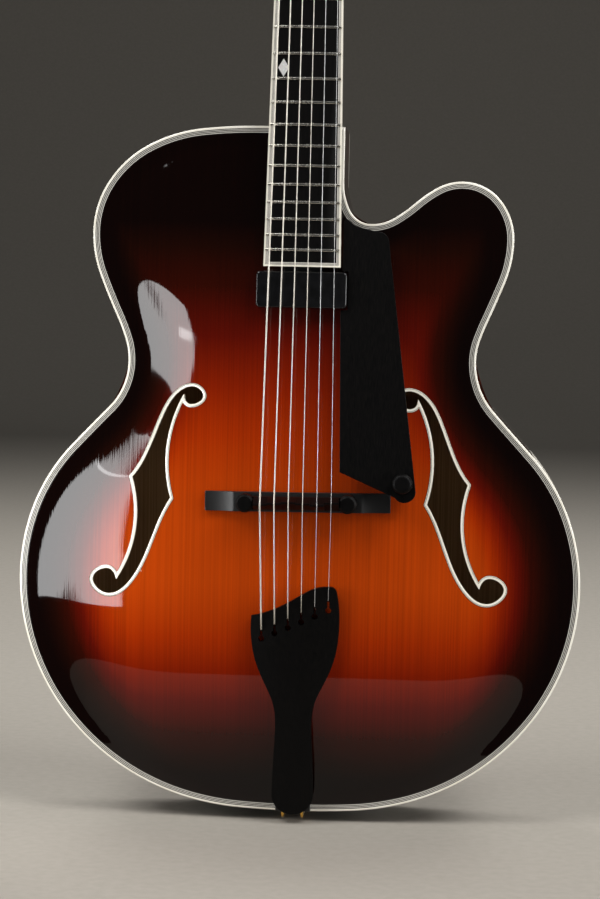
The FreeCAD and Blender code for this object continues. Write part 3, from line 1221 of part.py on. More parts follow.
def make_pickguard():
    to_plane = body_in_neck

    def spot(point):
        in_neck = to_plane.multVec(Vector(point.x, body_depth(mm.neck_rise), point.z))
        return Vector(in_neck.x, 0, in_neck.z)

    notch_top = board_end - mm.pickup_gap + mm.guard_notch_fit
    notch_foot = board_end - mm.pickup_gap - mm.pickup_length - mm.guard_notch_fit
    outer, inner, lower = (mm.guard_left + share * mm.guard_width for share in GUARD_NOTCH_SHARES)
    notch = [Vector(outer, 0, notch_top), Vector(inner, 0, notch_top), Vector(inner, 0, notch_foot),
             Vector(lower, 0, notch_foot)]
    bass = [spot(guard_point(GUARD_SHOULDER_SHARE))] + notch + [spot(guard_point(GUARD_HEEL_SHARE))]
    crown = [spot(guard_point(share)) for share in GUARD_CROWN_SHARES]
    corner = [spot(guard_point(share)) for share in GUARD_CORNER_SHARES]
    knob = knob_spot()
    tip = [knob + flat(share, mm.guard_tip, mm.guard_tip) for share in GUARD_TIP_SHARES]
    edges = [line(a, b) for a, b in zip(bass, bass[1:])]
    edges += [curve(bass[:1] + crown), arc(crown[-1], corner[0], corner[1]), line(corner[1], tip[0]),
              curve(tip), line(tip[-1], bass[-1])]
    plan = closed(edges)
    top = mm.guard_drop
    plate = prism(plan, top, top + mm.guard_thickness)
    pot_hole = Part.makeCylinder(mm.pot_bush, FAR, knob - Vector(0, FAR / 2, 0), Vector(0, 1, 0))
    feature("pickguard", plate.cut(pot_hole), neck_frame)

    under = top + mm.guard_thickness
    foot = spot(Vector(mm.guard_support_across, 0, guard_foot + mm.guard_support_rise))
    post_top = foot + Vector(0, under, 0)
    post = Part.makeCylinder(mm.guard_support_radius, mm.rim_depth, post_top, Vector(0, 1, 0))
    feature("pickguard_support", post.cut(placed(under_top, body_in_neck)), neck_frame)

    pot = turned_body("pot_turning", [
        ("knob_shaft + pot_fit", "0"), ("pot_bush", "0"), ("pot_bush", "-guard_thickness"),
        ("pot_radius", "-guard_thickness"), ("pot_radius", "-guard_thickness - pot_height"),
        ("0", "-guard_thickness - pot_height"), ("0", "-knob_shaft_length - pot_fit"),
        ("knob_shaft + pot_fit", "-knob_shaft_length - pot_fit")])
    on_guard = neck_frame.multiply(Placement(knob + Vector(0, top, 0), FACING_FRONT))
    keep(pot, "volume_pot", on_guard)
    dial = turned_body("knob_turning", [
        ("0", "-knob_shaft_length"), ("knob_shaft", "-knob_shaft_length"), ("knob_shaft", "knob_gap"),
        ("knob_radius", "knob_gap"), ("knob_radius", "knob_gap + knob_height"),
        ("0", "knob_gap + knob_height")])
    crest_height = mm.knob_gap + mm.knob_height
    soften(dial, "Fillet", lambda edge: edge.BoundBox.ZMin > crest_height - mm.knob_gap
           and edge.BoundBox.XMax > mm.knob_shaft, "knob_dome")
    keep(dial, "volume_knob", on_guard)


def knob_spot():
    """The volume knob's place on the pickguard's plane, in the neck's frame."""
    in_neck = body_in_neck.multVec(Vector(mm.guard_knob, body_depth(mm.neck_rise), guard_foot))
    return Vector(in_neck.x, 0, in_neck.z)


def make_pickup():
    shell = padded_body("pickup_shell", lambda body: loop_sketch(body, "XY_Plane", [
        ("-pickup_width / 2", "-pickup_length"), ("pickup_width / 2", "-pickup_length"),
        ("pickup_width / 2", "0"), ("-pickup_width / 2", "0")]), "pickup_height")
    soften(shell, "Fillet", lambda edge: edge.BoundBox.ZLength > mm.pickup_height / 2, "pickup_corner")
    soften(shell, "Chamfer", lambda edge: edge.BoundBox.ZMin > mm.pickup_height / 2, "pickup_edge")
    sketch = loop_sketch(shell, "XY_Plane", [
        ("-pickup_tab_width / 2", "-pickup_corner"), ("pickup_tab_width / 2", "-pickup_corner"),
        ("pickup_tab_width / 2", "pickup_gap + board_binding"),
        ("-pickup_tab_width / 2", "pickup_gap + board_binding")], "tab")
    tab = shell.newObject("PartDesign::Pad", "mounting_tab")
    tab.Profile = sketch
    bind(tab, {"Length": "pickup_tab_height"})
    doc.recompute()
    keep(shell, "pickup", neck_frame.multiply(Placement(
        Vector(0, mm.pickup_drop + mm.pickup_height, board_end - mm.pickup_gap), FACING_FRONT)))


make_body_shell()
make_tone_bars()
make_neck()
make_truss_rod()
make_fingerboard()
make_tuners()
make_strings()
make_bridge()
make_tailpiece()
make_endpin()
make_pickguard()
make_pickup()
doc.recompute()

for thing in doc.Objects:
    if "Invalid" in thing.State or "Error" in thing.State:
        raise RuntimeError(f"{thing.Name} did not build: {thing.State}")
for thing in sub_parts:
    if thing.Shape.isNull() or not thing.Shape.isValid():
        raise RuntimeError(f"{thing.Label} has no valid shape")

os.makedirs("parts", exist_ok=True)
for thing in sub_parts:
    thing.Shape.exportStep(os.path.join("parts", f"{thing.Label}.step"))
    print(f"{thing.Label:24s} solids {len(thing.Shape.Solids):2d}  volume {thing.Shape.Volume:11.1f}")
print(f"{len(sub_parts)} sub-parts written")
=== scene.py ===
# %% [markdown]
# An archtop guitar: a hollow body with a carved, arched top, one rounded cutaway, two bound f-shaped
# sound holes, a floating black bridge and a black tailpiece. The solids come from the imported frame, in
# metres, with the strings along Z, the front facing -Y and the cutaway on +X. This lesson dresses them:
# it models the glossy skins, the bound edges and the strings anew, where a tessellated solid would show
# its facets in the lacquer, and finishes all other pieces as bevelled copies with their own materials.

# %% Load the frame
import cmath
import json
import math

import bpy
import numpy as np
from mathutils import Matrix, Vector
from mathutils.geometry import delaunay_2d_cdt


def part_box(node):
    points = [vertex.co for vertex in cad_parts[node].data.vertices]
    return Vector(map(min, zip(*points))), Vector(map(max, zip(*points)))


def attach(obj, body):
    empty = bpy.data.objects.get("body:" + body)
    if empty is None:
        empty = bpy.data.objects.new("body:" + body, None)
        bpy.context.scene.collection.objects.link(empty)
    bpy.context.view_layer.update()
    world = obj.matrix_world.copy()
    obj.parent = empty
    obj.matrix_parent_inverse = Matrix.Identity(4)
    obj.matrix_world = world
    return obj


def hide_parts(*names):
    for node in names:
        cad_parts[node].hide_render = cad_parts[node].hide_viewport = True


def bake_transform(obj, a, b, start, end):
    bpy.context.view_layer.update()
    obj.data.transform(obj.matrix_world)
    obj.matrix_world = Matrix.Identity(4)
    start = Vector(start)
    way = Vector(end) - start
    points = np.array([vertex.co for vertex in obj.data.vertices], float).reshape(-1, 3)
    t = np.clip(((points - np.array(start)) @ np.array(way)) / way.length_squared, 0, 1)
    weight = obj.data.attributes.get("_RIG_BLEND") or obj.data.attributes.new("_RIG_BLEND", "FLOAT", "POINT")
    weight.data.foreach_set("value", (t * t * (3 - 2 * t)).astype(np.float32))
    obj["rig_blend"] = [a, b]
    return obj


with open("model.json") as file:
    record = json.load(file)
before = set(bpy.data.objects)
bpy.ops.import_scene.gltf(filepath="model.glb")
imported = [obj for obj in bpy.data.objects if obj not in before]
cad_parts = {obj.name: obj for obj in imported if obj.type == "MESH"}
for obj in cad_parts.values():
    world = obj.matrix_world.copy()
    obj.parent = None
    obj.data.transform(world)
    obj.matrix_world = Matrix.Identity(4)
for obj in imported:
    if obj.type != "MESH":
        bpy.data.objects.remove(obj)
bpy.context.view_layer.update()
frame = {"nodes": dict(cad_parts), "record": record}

MM = 0.001
scene = bpy.context.scene
body_of = {node: body for body, nodes in frame["record"]["behaviour"]["bodies"].items() for node in nodes}

# %% [markdown]
# The photograph was taken from a little right of the middle, at about the height of the waist, with a
# long lens. Its camera was found by fitting the frets, the fingerboard's edges and the bridge, so a
# piece that is placed by the frame falls on its own pixels.

# %% Camera
PICTURE_HEIGHT_PX = 899
FOCAL_LENGTH_PX = 2359.4
SENSOR_MM = 36
CAMERA_PLACE = Vector((0.1192, -1.838, 0.4116))
YAW, PITCH, ROLL = (math.radians(angle) for angle in (-3.8, -3.9, 1.2))

ahead = Vector((math.sin(YAW) * math.cos(PITCH), math.cos(YAW) * math.cos(PITCH), math.sin(PITCH)))
level = Vector((math.cos(YAW), -math.sin(YAW), 0))
upright = level.cross(ahead)
right = level * math.cos(ROLL) + upright * math.sin(ROLL)
above = upright * math.cos(ROLL) - level * math.sin(ROLL)

bpy.ops.object.select_all(action="DESELECT")
bpy.ops.object.camera_add()
camera = bpy.context.object
camera.matrix_world = Matrix.Translation(CAMERA_PLACE) @ Matrix((right, above, -ahead)).transposed().to_4x4()
camera.data.sensor_width = SENSOR_MM
camera.data.lens = FOCAL_LENGTH_PX / PICTURE_HEIGHT_PX * SENSOR_MM
scene.camera = camera
print("lens", round(camera.data.lens, 1), "mm")

# %% [markdown]
# A finish is a shader and the few nodes that vary it. One function turns a colour as a painter writes it,
# an sRGB hex code, into the linear values that the renderer adds up. Another adds a node with its options,
# colour stops and links, so every finish below reads as a list of what its surface has.

# %% Colour and node helpers
def linear(code):
    """Linear RGBA from an sRGB hex code."""
    parts = [int(code[k:k + 2], 16) / 255 for k in (1, 3, 5)]
    return [c / 12.92 if c <= 0.04045 else ((c + 0.055) / 1.055) ** 2.4 for c in parts] + [1]


def put(finish, kind, inputs=None, stops=None, **options):
    """Adds a node to a finish, with its options, its colour stops, and its inputs set or linked."""
    tree = finish.node_tree
    node = tree.nodes.new("ShaderNode" + kind)
    for option, value in options.items():
        setattr(node, option, value)
    if stops:
        marks = node.color_ramp.elements
        marks.remove(marks[1])
        marks[0].position = stops[0][0]
        marks[0].color = linear(stops[0][1])
        for place, code in stops[1:]:
            marks.new(place).color = linear(code)
    for socket, value in (inputs or {}).items():
        if isinstance(value, bpy.types.NodeSocket):
            tree.links.new(value, node.inputs[socket])
        else:
            node.inputs[socket].default_value = value
    return node


def new_finish(name, **sockets):
    """An empty finish: its material, with the shader's own sockets set by name."""
    finish = bpy.data.materials.new(name)
    finish.use_nodes = True
    shader = finish.node_tree.nodes["Principled BSDF"]
    for socket, value in sockets.items():
        shader.inputs[socket.replace("_", " ")].default_value = value
    return finish


def drive(finish, **sockets):
    """Links outputs to the shader's sockets by name."""
    shader = finish.node_tree.nodes["Principled BSDF"]
    for socket, output in sockets.items():
        finish.node_tree.links.new(output, shader.inputs[socket.replace("_", " ")])
    return finish


def stretched(finish, x_mm, y_mm, z_mm):
    """Object coordinates scaled so that one unit of a pattern is that many millimetres on each axis."""
    place = put(finish, "TexCoord").outputs["Object"]
    scale = [1 / (size * MM) for size in (x_mm, y_mm, z_mm)]
    return put(finish, "Mapping", {"Vector": place, "Scale": scale}).outputs["Vector"]


print("middle grey in linear values", [round(part, 3) for part in linear("#808080")])

# %% [markdown]
# The stage is a pale grey sheet of paper that hangs over a table's front edge, lies flat as the floor and
# curves up into the wall, so no edge shows behind the guitar and little of the floor is mirrored in its
# front. Its section is a line with two round bends, drawn once and stretched sideways.

# %% Stage
FLOOR_HALF = 6
FLOOR_FRONT = -0.32
LIP_RADIUS = 0.02
LIP_DROP = 0.8
WALL_Y = 6.5
COVE_RADIUS = 2
WALL_TOP = 6
COVE_STEPS = 24

turns = [math.pi / 2 * step / COVE_STEPS for step in range(COVE_STEPS + 1)]
sweep = [(FLOOR_FRONT - LIP_RADIUS, -LIP_DROP)]
for turn in turns:
    sweep.append((FLOOR_FRONT - LIP_RADIUS * math.cos(turn), LIP_RADIUS * (math.sin(turn) - 1)))
for turn in turns:
    sweep.append((WALL_Y - COVE_RADIUS * (1 - math.sin(turn)), COVE_RADIUS * (1 - math.cos(turn))))
sweep.append((WALL_Y, WALL_TOP))
corners = [(x, y, z) for x in (-FLOOR_HALF, FLOOR_HALF) for y, z in sweep]
count = len(sweep)
mesh = bpy.data.meshes.new("studio_cove")
mesh.from_pydata(corners, [], [(k, k + count, k + count + 1, k + 1) for k in range(count - 1)])
cove = bpy.data.objects.new("studio_cove", mesh)
scene.collection.objects.link(cove)

paper = new_finish("grey seamless paper", Roughness=0.85, Specular_IOR_Level=0.15)
fibre = put(paper, "TexNoise", {"Vector": stretched(paper, 40, 40, 40), "Detail": 4})
shade = put(paper, "ValToRGB", {"Fac": fibre.outputs["Fac"]}, stops=[(0.3, "#8f8a81"), (0.7, "#958f86")])
drive(paper, Base_Color=shade.outputs["Color"])
mesh.materials.append(paper)
for face in mesh.polygons:
    face.use_smooth = True
print("stage", count, "lines")

# %% [markdown]
# The lacquer is a mirror, so every light has to be placed for its image too. The camera doesn't see a panel
# itself, only what the guitar mirrors of it. Two small panels close by on the left stand where their images
# lie along the bass side of the arch, as in the photograph. The large panels that do most of the lighting
# hang high, in front and behind, where the arch shows no image of them to the camera. Two upright strips
# light the sides, and the room is dim, so black gloss stays black.

# %% Lights
def softbox(name, place, facing, width, height, watts):
    """Adds a rectangular light panel that looks along a direction."""
    bpy.ops.object.select_all(action="DESELECT")
    bpy.ops.object.light_add(type="AREA", location=place)
    panel = bpy.context.object
    panel.name = name
    panel.data.shape = "RECTANGLE"
    panel.data.size = width
    panel.data.size_y = height
    panel.data.energy = watts
    panel.rotation_euler = Vector(facing).to_track_quat("-Z", "Y").to_euler()


softbox("left_panel", (-0.2825, -0.258, 0.223), (0.68, 0.733, 0), 0.06, 0.176, 0.36)
softbox("left_upper_panel", (-0.304, -0.243, 0.324), (-0.072, 0.997, 0), 0.112, 0.044, 0.16)
softbox("high_left_panel", (-1.3, -1.2, 2.3), (1.25, 1.15, -1.95), 1.4, 1.2, 44)
softbox("high_right_panel", (1.4, -1.1, 2.2), (-1.35, 1.05, -1.85), 1.4, 1.2, 50)
softbox("rear_left_panel", (-1.3, 1.5, 2.2), (1.3, -1.4, -1.8), 1.4, 1.2, 36)
softbox("rear_right_panel", (1.3, 1.5, 2.2), (-1.3, -1.4, -1.8), 1.4, 1.2, 36)
softbox("left_strip", (-1.8, -0.62, 0.5), (1, 0.33, -0.1), 0.4, 0.9, 12)
softbox("right_strip", (1.8, -0.62, 0.5), (-1, 0.33, -0.1), 0.4, 0.9, 20)

scene.world = bpy.data.worlds.new("dim room")
scene.world.use_nodes = True
room = scene.world.node_tree.nodes["Background"]
room.inputs["Color"].default_value = linear("#d8dade")
room.inputs["Strength"].default_value = 0.06
scene.view_settings.view_transform = "Standard"

# %% [markdown]
# Spruce under a shaded lacquer. The top is sprayed: clear orange in the middle, red further out, and
# near black at the edge, then buffed to a mirror. The burst is a value kept on the mesh, so it follows the
# body's own outline. Spruce shows straight fine year rings along the strings, about 1.2 mm apart, and the
# lacquer sinks into them a little, so the edge of a mirrored light looks combed.

# %% Sunburst lacquer over spruce
RING_MM = 1.2
BURST_STOPS = [
    (0.0, "#0a0201"), (0.1, "#190501"), (0.26, "#2e0701"), (0.46, "#580c02"),
    (0.66, "#801c01"), (0.83, "#9b2b01"), (1.0, "#ad3c05"),
]

# The wood lies under the coat, so only the coat mirrors the room
top_lacquer = new_finish("sunburst lacquer over spruce", Specular_IOR_Level=0, Coat_Weight=1, Coat_IOR=1.4,
                         Coat_Roughness=0.03)
burst = put(top_lacquer, "Attribute", attribute_name="burst")
colour = put(top_lacquer, "ValToRGB", {"Fac": burst.outputs["Fac"]}, stops=BURST_STOPS)
rings = put(top_lacquer, "TexNoise",
            {"Vector": stretched(top_lacquer, RING_MM, 60, 400), "Scale": 1, "Detail": 3})
grain = put(top_lacquer, "ValToRGB", {"Fac": rings.outputs["Fac"]},
            stops=[(0.35, "#e6e6e6"), (0.65, "#ffffff")])
wood = put(top_lacquer, "MixRGB",
           {"Fac": 1, "Color1": colour.outputs["Color"], "Color2": grain.outputs["Color"]},
           blend_type="MULTIPLY")
pull = put(top_lacquer, "Bump", {"Height": rings.outputs["Fac"], "Strength": 0.3, "Distance": 0.06 * MM})
drive(top_lacquer, Base_Color=wood.outputs["Color"], Coat_Normal=pull.outputs["Normal"])
print(top_lacquer.name)

# %% [markdown]
# Figured maple, for the back, the sides and the neck. The same lacquer lies over a wood whose fibres
# wave, so light and dark bands some 9 mm wide run across the grain, uneven and soft at their ends.

# %% Red-brown lacquer over flamed maple
FLAME_MM = 9


def flamed(name, band_sizes_mm, stops):
    """Buffed lacquer over maple whose bands have a size along each axis."""
    lacquer = new_finish(name, Specular_IOR_Level=0, Coat_Weight=1, Coat_Roughness=0.04)
    waves = put(lacquer, "TexNoise", {"Vector": stretched(lacquer, *band_sizes_mm), "Scale": 1, "Detail": 2})
    maple = put(lacquer, "ValToRGB", {"Fac": waves.outputs["Fac"]}, stops=stops)
    return drive(lacquer, Base_Color=maple.outputs["Color"])


back_lacquer = flamed("red-brown lacquer over flamed maple", (70, 70, FLAME_MM),
                      [(0.3, "#2c0a03"), (0.5, "#4a1605"), (0.72, "#6e2a0a")])
rim_lacquer = flamed("dark shaded lacquer over flamed maple", (FLAME_MM, 90, FLAME_MM),
                     [(0.3, "#180602"), (0.55, "#2b0d04"), (0.75, "#43180a")])
print(back_lacquer.name, "and", rim_lacquer.name)

# %% [markdown]
# Celluloid binding is a cream plastic strip that is glued round the edge, scraped flush and polished. It
# is a little uneven in colour. The purfling beside it is a stack of thin black and white strips, and the
# mesh says how far across the stack a point lies.

# %% Binding and purfling
cream = new_finish("cream celluloid", Roughness=0.25, IOR=1.5, Coat_Weight=0.6, Coat_Roughness=0.05)
clouds = put(cream, "TexNoise", {"Vector": stretched(cream, 14, 14, 14), "Scale": 1, "Detail": 3})
tint = put(cream, "ValToRGB", {"Fac": clouds.outputs["Fac"]}, stops=[(0.3, "#e9e3d3"), (0.7, "#f4f0e4")])
drive(cream, Base_Color=tint.outputs["Color"])


def plies(name, stops):
    """Polished strips side by side: a finish whose colour steps with the mesh's own value across."""
    finish = new_finish(name, Roughness=0.25, IOR=1.5, Coat_Weight=0.8, Coat_Roughness=0.04)
    across = put(finish, "Attribute", attribute_name="across")
    lines = put(finish, "ValToRGB", {"Fac": across.outputs["Fac"]}, stops=stops)
    lines.color_ramp.interpolation = "CONSTANT"
    return drive(finish, Base_Color=lines.outputs["Color"])


purfling = plies("black and white purfling", [
    (0, "#0d0b09"), (0.14, "#c9c5bb"), (0.26, "#0d0b09"), (0.4, "#c9c5bb"), (0.52, "#0d0b09"),
    (0.66, "#c9c5bb"), (0.8, "#0a0504"),
])
hoop_plies = plies("cream hoop with black lines", [
    (0, "#ece6d6"), (0.6, "#2a2019"), (0.7, "#d8d0bf"), (0.88, "#1a100b"),
])
board_plies = plies("cream board edge with black lines", [
    (0, "#ece6d6"), (0.42, "#0e0c0a"), (0.5, "#cdc8be"), (0.64, "#0e0c0a"), (0.72, "#cdc8be"),
    (0.88, "#0e0c0a"),
])
print("plies", purfling.name)

# %% [markdown]
# Ebony is nearly black and dense, with fine short pores along the grain that only show where light
# grazes it. It is oiled and rubbed rather than lacquered: to a gloss on the headstock, satin on the bridge's
# foot, and dull on the fingerboard, the pickguard and the tailpiece.

# %% Ebony
PORE_MM = 0.5


def rubbed_ebony(name, gloss, low, high):
    """Oiled ebony, rubbed to a gloss and a roughness between low and high."""
    timber = new_finish(name, IOR=1.5, Specular_IOR_Level=gloss)
    pores = put(timber, "TexNoise",
                {"Vector": stretched(timber, PORE_MM, PORE_MM, 14), "Scale": 1, "Detail": 4})
    black = put(timber, "ValToRGB", {"Fac": pores.outputs["Fac"]},
                stops=[(0.35, "#020202"), (0.7, "#090706")])
    rub = put(timber, "MapRange", {"Value": pores.outputs["Fac"], "To Min": low, "To Max": high})
    dent = put(timber, "Bump", {"Height": pores.outputs["Fac"], "Strength": 0.06, "Distance": 0.1 * MM})
    return drive(timber, Base_Color=black.outputs["Color"], Roughness=rub.outputs["Result"],
                 Normal=dent.outputs["Normal"])


ebony = rubbed_ebony("polished ebony", 0.5, 0.24, 0.34)
satin_ebony = rubbed_ebony("satin ebony", 0.7, 0.4, 0.5)
board_ebony = rubbed_ebony("dull rubbed ebony", 0.1, 0.42, 0.55)
print(ebony.name, satin_ebony.name, "and", board_ebony.name)

# %% [markdown]
# The metals. Gold plate over brass on the tail hardware and tuners, nickel silver for the frets, steel
# for the strings' cores and the threaded posts. Each is polished, with faint wipe marks in its roughness.

# %% Metals
def polished(name, dark, light, low, high):
    """A polished metal whose colour and roughness waver a little, as wiping leaves it."""
    metal = new_finish(name, Metallic=1)
    haze = put(metal, "TexNoise", {"Vector": stretched(metal, 3, 3, 6), "Scale": 1, "Detail": 3})
    tone = put(metal, "ValToRGB", {"Fac": haze.outputs["Fac"]}, stops=[(0.3, dark), (0.7, light)])
    wipe = put(metal, "MapRange", {"Value": haze.outputs["Fac"], "To Min": low, "To Max": high})
    return drive(metal, Base_Color=tone.outputs["Color"], Roughness=wipe.outputs["Result"])


gold = polished("gold plate", "#c8963c", "#e0b45c", 0.14, 0.26)
nickel = polished("nickel silver", "#cbc7bc", "#e0dcd2", 0.2, 0.32)
steel = polished("bright steel", "#dcdcdb", "#f0f0ef", 0.46, 0.56)
zinc = polished("zinc-plated can", "#8f9194", "#aeb0b3", 0.3, 0.45)

WINDING_MM = 0.6
wound = new_finish("nickel-wound string", Metallic=1, Roughness=0.5)
# The real wire is near 0.25 mm thick; the winding is drawn coarser so that it shows in a close view
wraps = put(wound, "TexWave", {"Vector": stretched(wound, WINDING_MM, WINDING_MM, WINDING_MM), "Scale": 0.32},
            bands_direction="Z")
# The colour is painted darker in the grooves between the wraps and lighter on their crests: painted shade and
# painted highlight, added to the bump
painted_wrap_shade = put(wound, "ValToRGB", {"Fac": wraps.outputs["Fac"]}, stops=[(0.1, "#b8b2a6"), (0.7, "#f6f0e4")])
ridge = put(wound, "Bump", {"Height": wraps.outputs["Fac"], "Strength": 0.5, "Distance": 0.1 * MM})
drive(wound, Base_Color=painted_wrap_shade.outputs["Color"], Normal=ridge.outputs["Normal"])
print("metals", gold.name, nickel.name, steel.name, wound.name)

# %% [markdown]
# The small rest: pearl for the inlay, bone for the nut, bare spruce and maple inside the body, and the
# pickup's moulded black cover with the faint ripple of its mould.

# %% Pearl, bone, bare wood and moulded plastic
pearl = new_finish("mother of pearl", Roughness=0.2, Coat_Weight=1, Coat_Roughness=0.05)
layers = put(pearl, "TexNoise",
             {"Vector": stretched(pearl, 3, 3, 5), "Scale": 1, "Detail": 2, "Distortion": 1.4})
sheen = put(pearl, "ValToRGB", {"Fac": layers.outputs["Fac"]},
            stops=[(0.3, "#b9c3bb"), (0.45, "#e3e2da"), (0.55, "#cfc8cb"), (0.7, "#dfe6e0")])
drive(pearl, Base_Color=sheen.outputs["Color"])

bone = new_finish("polished bone", Roughness=0.32, Subsurface_Weight=0.1, Subsurface_Scale=1 * MM)
flecks = put(bone, "TexNoise", {"Vector": stretched(bone, 0.8, 0.8, 2.5), "Scale": 1, "Detail": 3})
ivory = put(bone, "ValToRGB", {"Fac": flecks.outputs["Fac"]}, stops=[(0.3, "#d8cdb2"), (0.7, "#eae2cd")])
drive(bone, Base_Color=ivory.outputs["Color"])

bare = new_finish("bare sanded spruce", Roughness=0.75)
years = put(bare, "TexNoise", {"Vector": stretched(bare, RING_MM, 40, 300), "Scale": 1, "Detail": 3})
pale = put(bare, "ValToRGB", {"Fac": years.outputs["Fac"]}, stops=[(0.35, "#a5794a"), (0.65, "#c49a66")])
drive(bare, Base_Color=pale.outputs["Color"])

moulded = new_finish("black moulded plastic", IOR=1.5)
ripple = put(moulded, "TexNoise", {"Vector": stretched(moulded, 6, 6, 6), "Scale": 1, "Detail": 2})
jet = put(moulded, "ValToRGB", {"Fac": ripple.outputs["Fac"]}, stops=[(0.3, "#090909"), (0.7, "#111112")])
gloss = put(moulded, "MapRange", {"Value": ripple.outputs["Fac"], "To Min": 0.14, "To Max": 0.24})
drive(moulded, Base_Color=jet.outputs["Color"], Roughness=gloss.outputs["Result"])
print("small finishes", pearl.name, bone.name, bare.name, moulded.name)

# %% [markdown]
# The body's outline. A maker draws it with a few arcs that run smoothly into each other, so it is kept
# here as the same few points as the solids have: across as a share of the half lower bout, up as a share
# of the body's length, and the heading there. Two arcs join each pair of points. Points are complex
# numbers, x plus z times i, because a turn is then one multiplication.

# %% Outline
edge_low, edge_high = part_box("top_binding")
TAIL_Z = edge_low.z
BODY_LENGTH = edge_high.z - edge_low.z
HALF_BOUT = edge_high.x
FRONT_Y = edge_low.y
BACK_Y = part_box("back_binding")[1].y
STEP = 2.5 * MM
STRAIGHT_TURN = 1e-9

BASS_SHARES = [
    (0, 0, 0), (0.394, 0.0161, 15.6), (1, 0.3378, 90), (0.8182, 0.532, 132.9), (0.6192, 0.6568, 90),
    (0.6633, 0.7217, 65), (0.7524, 0.8423, 90), (0.5605, 0.9697, 151.2), (0.1665, 1, 180),
]
TREBLE_SHARES = BASS_SHARES[:4] + [
    (0.6124, 0.6665, 90), (0.6465, 0.7201, 66.5), (0.7352, 0.8422, 90), (0.5506, 0.925, 180),
    (0.3891, 0.894, 221.4), (0.2322, 0.8617, 180), (0.1336, 0.9206, 90),
]


def dot(a, b):
    """The dot product of two directions."""
    return (a * b.conjugate()).real


def arc(start, heading, end):
    """Points along the arc that leaves start with a heading, and their headings, without the end."""
    chord = end - start
    turn = cmath.phase(chord / heading)
    count = max(2, round(abs(chord) / STEP))
    run = []
    for k in range(count):
        part = turn * k / count
        reach = k / count if abs(turn) < STRAIGHT_TURN else math.sin(part) / math.sin(turn)
        place = start + abs(chord) * reach * heading * cmath.rect(1, part)
        run.append((place, heading * cmath.rect(1, 2 * part)))
    return run


def half_outline(shares):
    """One side of the body from the tail up, as points with their headings."""
    spots = [(complex(across * HALF_BOUT, TAIL_Z + up * BODY_LENGTH), cmath.rect(1, math.radians(heading)))
             for across, up, heading in shares]
    run = []
    for (start, leave), (end, reach) in zip(spots, spots[1:]):
        chord = end - start
        spread = 2 * (1 - dot(leave, reach))
        along = dot(chord, leave + reach)
        handle = (math.sqrt(along ** 2 + spread * abs(chord) ** 2) - along) / spread
        joint = (start + end + (leave - reach) * handle) / 2
        straight = (joint - start) / abs(joint - start)
        run += arc(start, leave, joint) + arc(joint, straight * straight / leave, end)
    return run + [spots[-1]]


def whole_outline():
    """The closed outline, counter-clockwise, as points and inward directions."""
    treble = half_outline(TREBLE_SHARES)
    bass = [(complex(-p.real, p.imag), h.conjugate()) for p, h in half_outline(BASS_SHARES)][::-1]
    corner = complex(treble[-1][0].real, TAIL_Z + BODY_LENGTH)
    wall = arc(treble[-1][0], 1j, corner)
    shoulder = arc(corner, -1 + 0j, bass[0][0])
    run = treble[:-1] + wall + shoulder[1:] + bass[:-1]
    points = [p for p, h in run]
    inward = [h * 1j for p, h in run]
    at = len(treble) - 1 + len(wall)
    points.insert(at, corner)
    inward.insert(at, -1 - 1j)
    return np.array(points), np.array(inward)


outline, inward = whole_outline()
print("outline", len(outline), "points, width", round(np.ptp(outline.real) / MM, 1), "mm")

# %% [markdown]
# The arching. A carver leaves a flat ledge under the binding, hollows a little inside it, and lets the
# plate rise quickly to a broad, nearly level crown. The height comes from a soft distance to the edge, which
# has no creases at the waist, shaped by one swelling curve across and two along.

# %% Arching
LEDGE = 6.5 * MM
TAIL_RUN = 175 * MM
NECK_RUN = 150 * MM
SOFTNESS = 14 * MM
FULLNESS = 0.7
CROWN = 0.8
EDGE_SAMPLES = 420
COLUMN_STEP = 5 * MM
# Distances are worked out for a portion of the points at a time, so that no array grows large
PORTIONS = 40
TOP_RISE = FRONT_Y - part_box("top_plate")[0].y
BACK_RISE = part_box("back_plate")[1].y - BACK_Y


def resampled(loop, step):
    """The same closed loop with evenly spaced points."""
    ends = np.append(loop, loop[0])
    way = np.concatenate([[0], np.cumsum(np.abs(np.diff(ends)))])
    stops = np.linspace(0, way[-1], round(way[-1] / step), endpoint=False)
    return np.interp(stops, way, ends.real) + 1j * np.interp(stops, way, ends.imag)


girth = np.abs(np.diff(np.append(outline, outline[0]))).sum()
edge_points = resampled(outline, girth / EDGE_SAMPLES)


def inside(points, loop):
    """Which points lie inside a closed loop."""
    hits = np.zeros(len(points), bool)
    for a, b in zip(loop, np.roll(loop, -1)):
        crosses = (a.imag > points.imag) != (b.imag > points.imag)
        if a.imag != b.imag:
            reach = a.real + (points.imag - a.imag) * (b.real - a.real) / (b.imag - a.imag)
            hits ^= crosses & (points.real < reach)
    return hits


def soft_depth(points):
    """How far inside the outline each point lies, without creases."""
    share = girth / EDGE_SAMPLES / (2 * SOFTNESS)
    near = np.concatenate([np.exp(-np.abs(some[:, None] - edge_points) / SOFTNESS).sum(1)
                           for some in np.array_split(points, PORTIONS)])
    return np.where(inside(points, outline), np.maximum(-SOFTNESS * np.log(near * share), 0), 0)


def swell(share):
    """From 0 to 1 as a smooth swelling."""
    return (1 - np.cos(np.pi * np.clip(share, 0, 1) ** FULLNESS)) / 2


levels = np.arange(TAIL_Z, TAIL_Z + BODY_LENGTH, LEDGE)
columns = np.arange(-HALF_BOUT, HALF_BOUT, COLUMN_STEP)
deepest = np.array([soft_depth(columns + 1j * z).max() for z in levels])


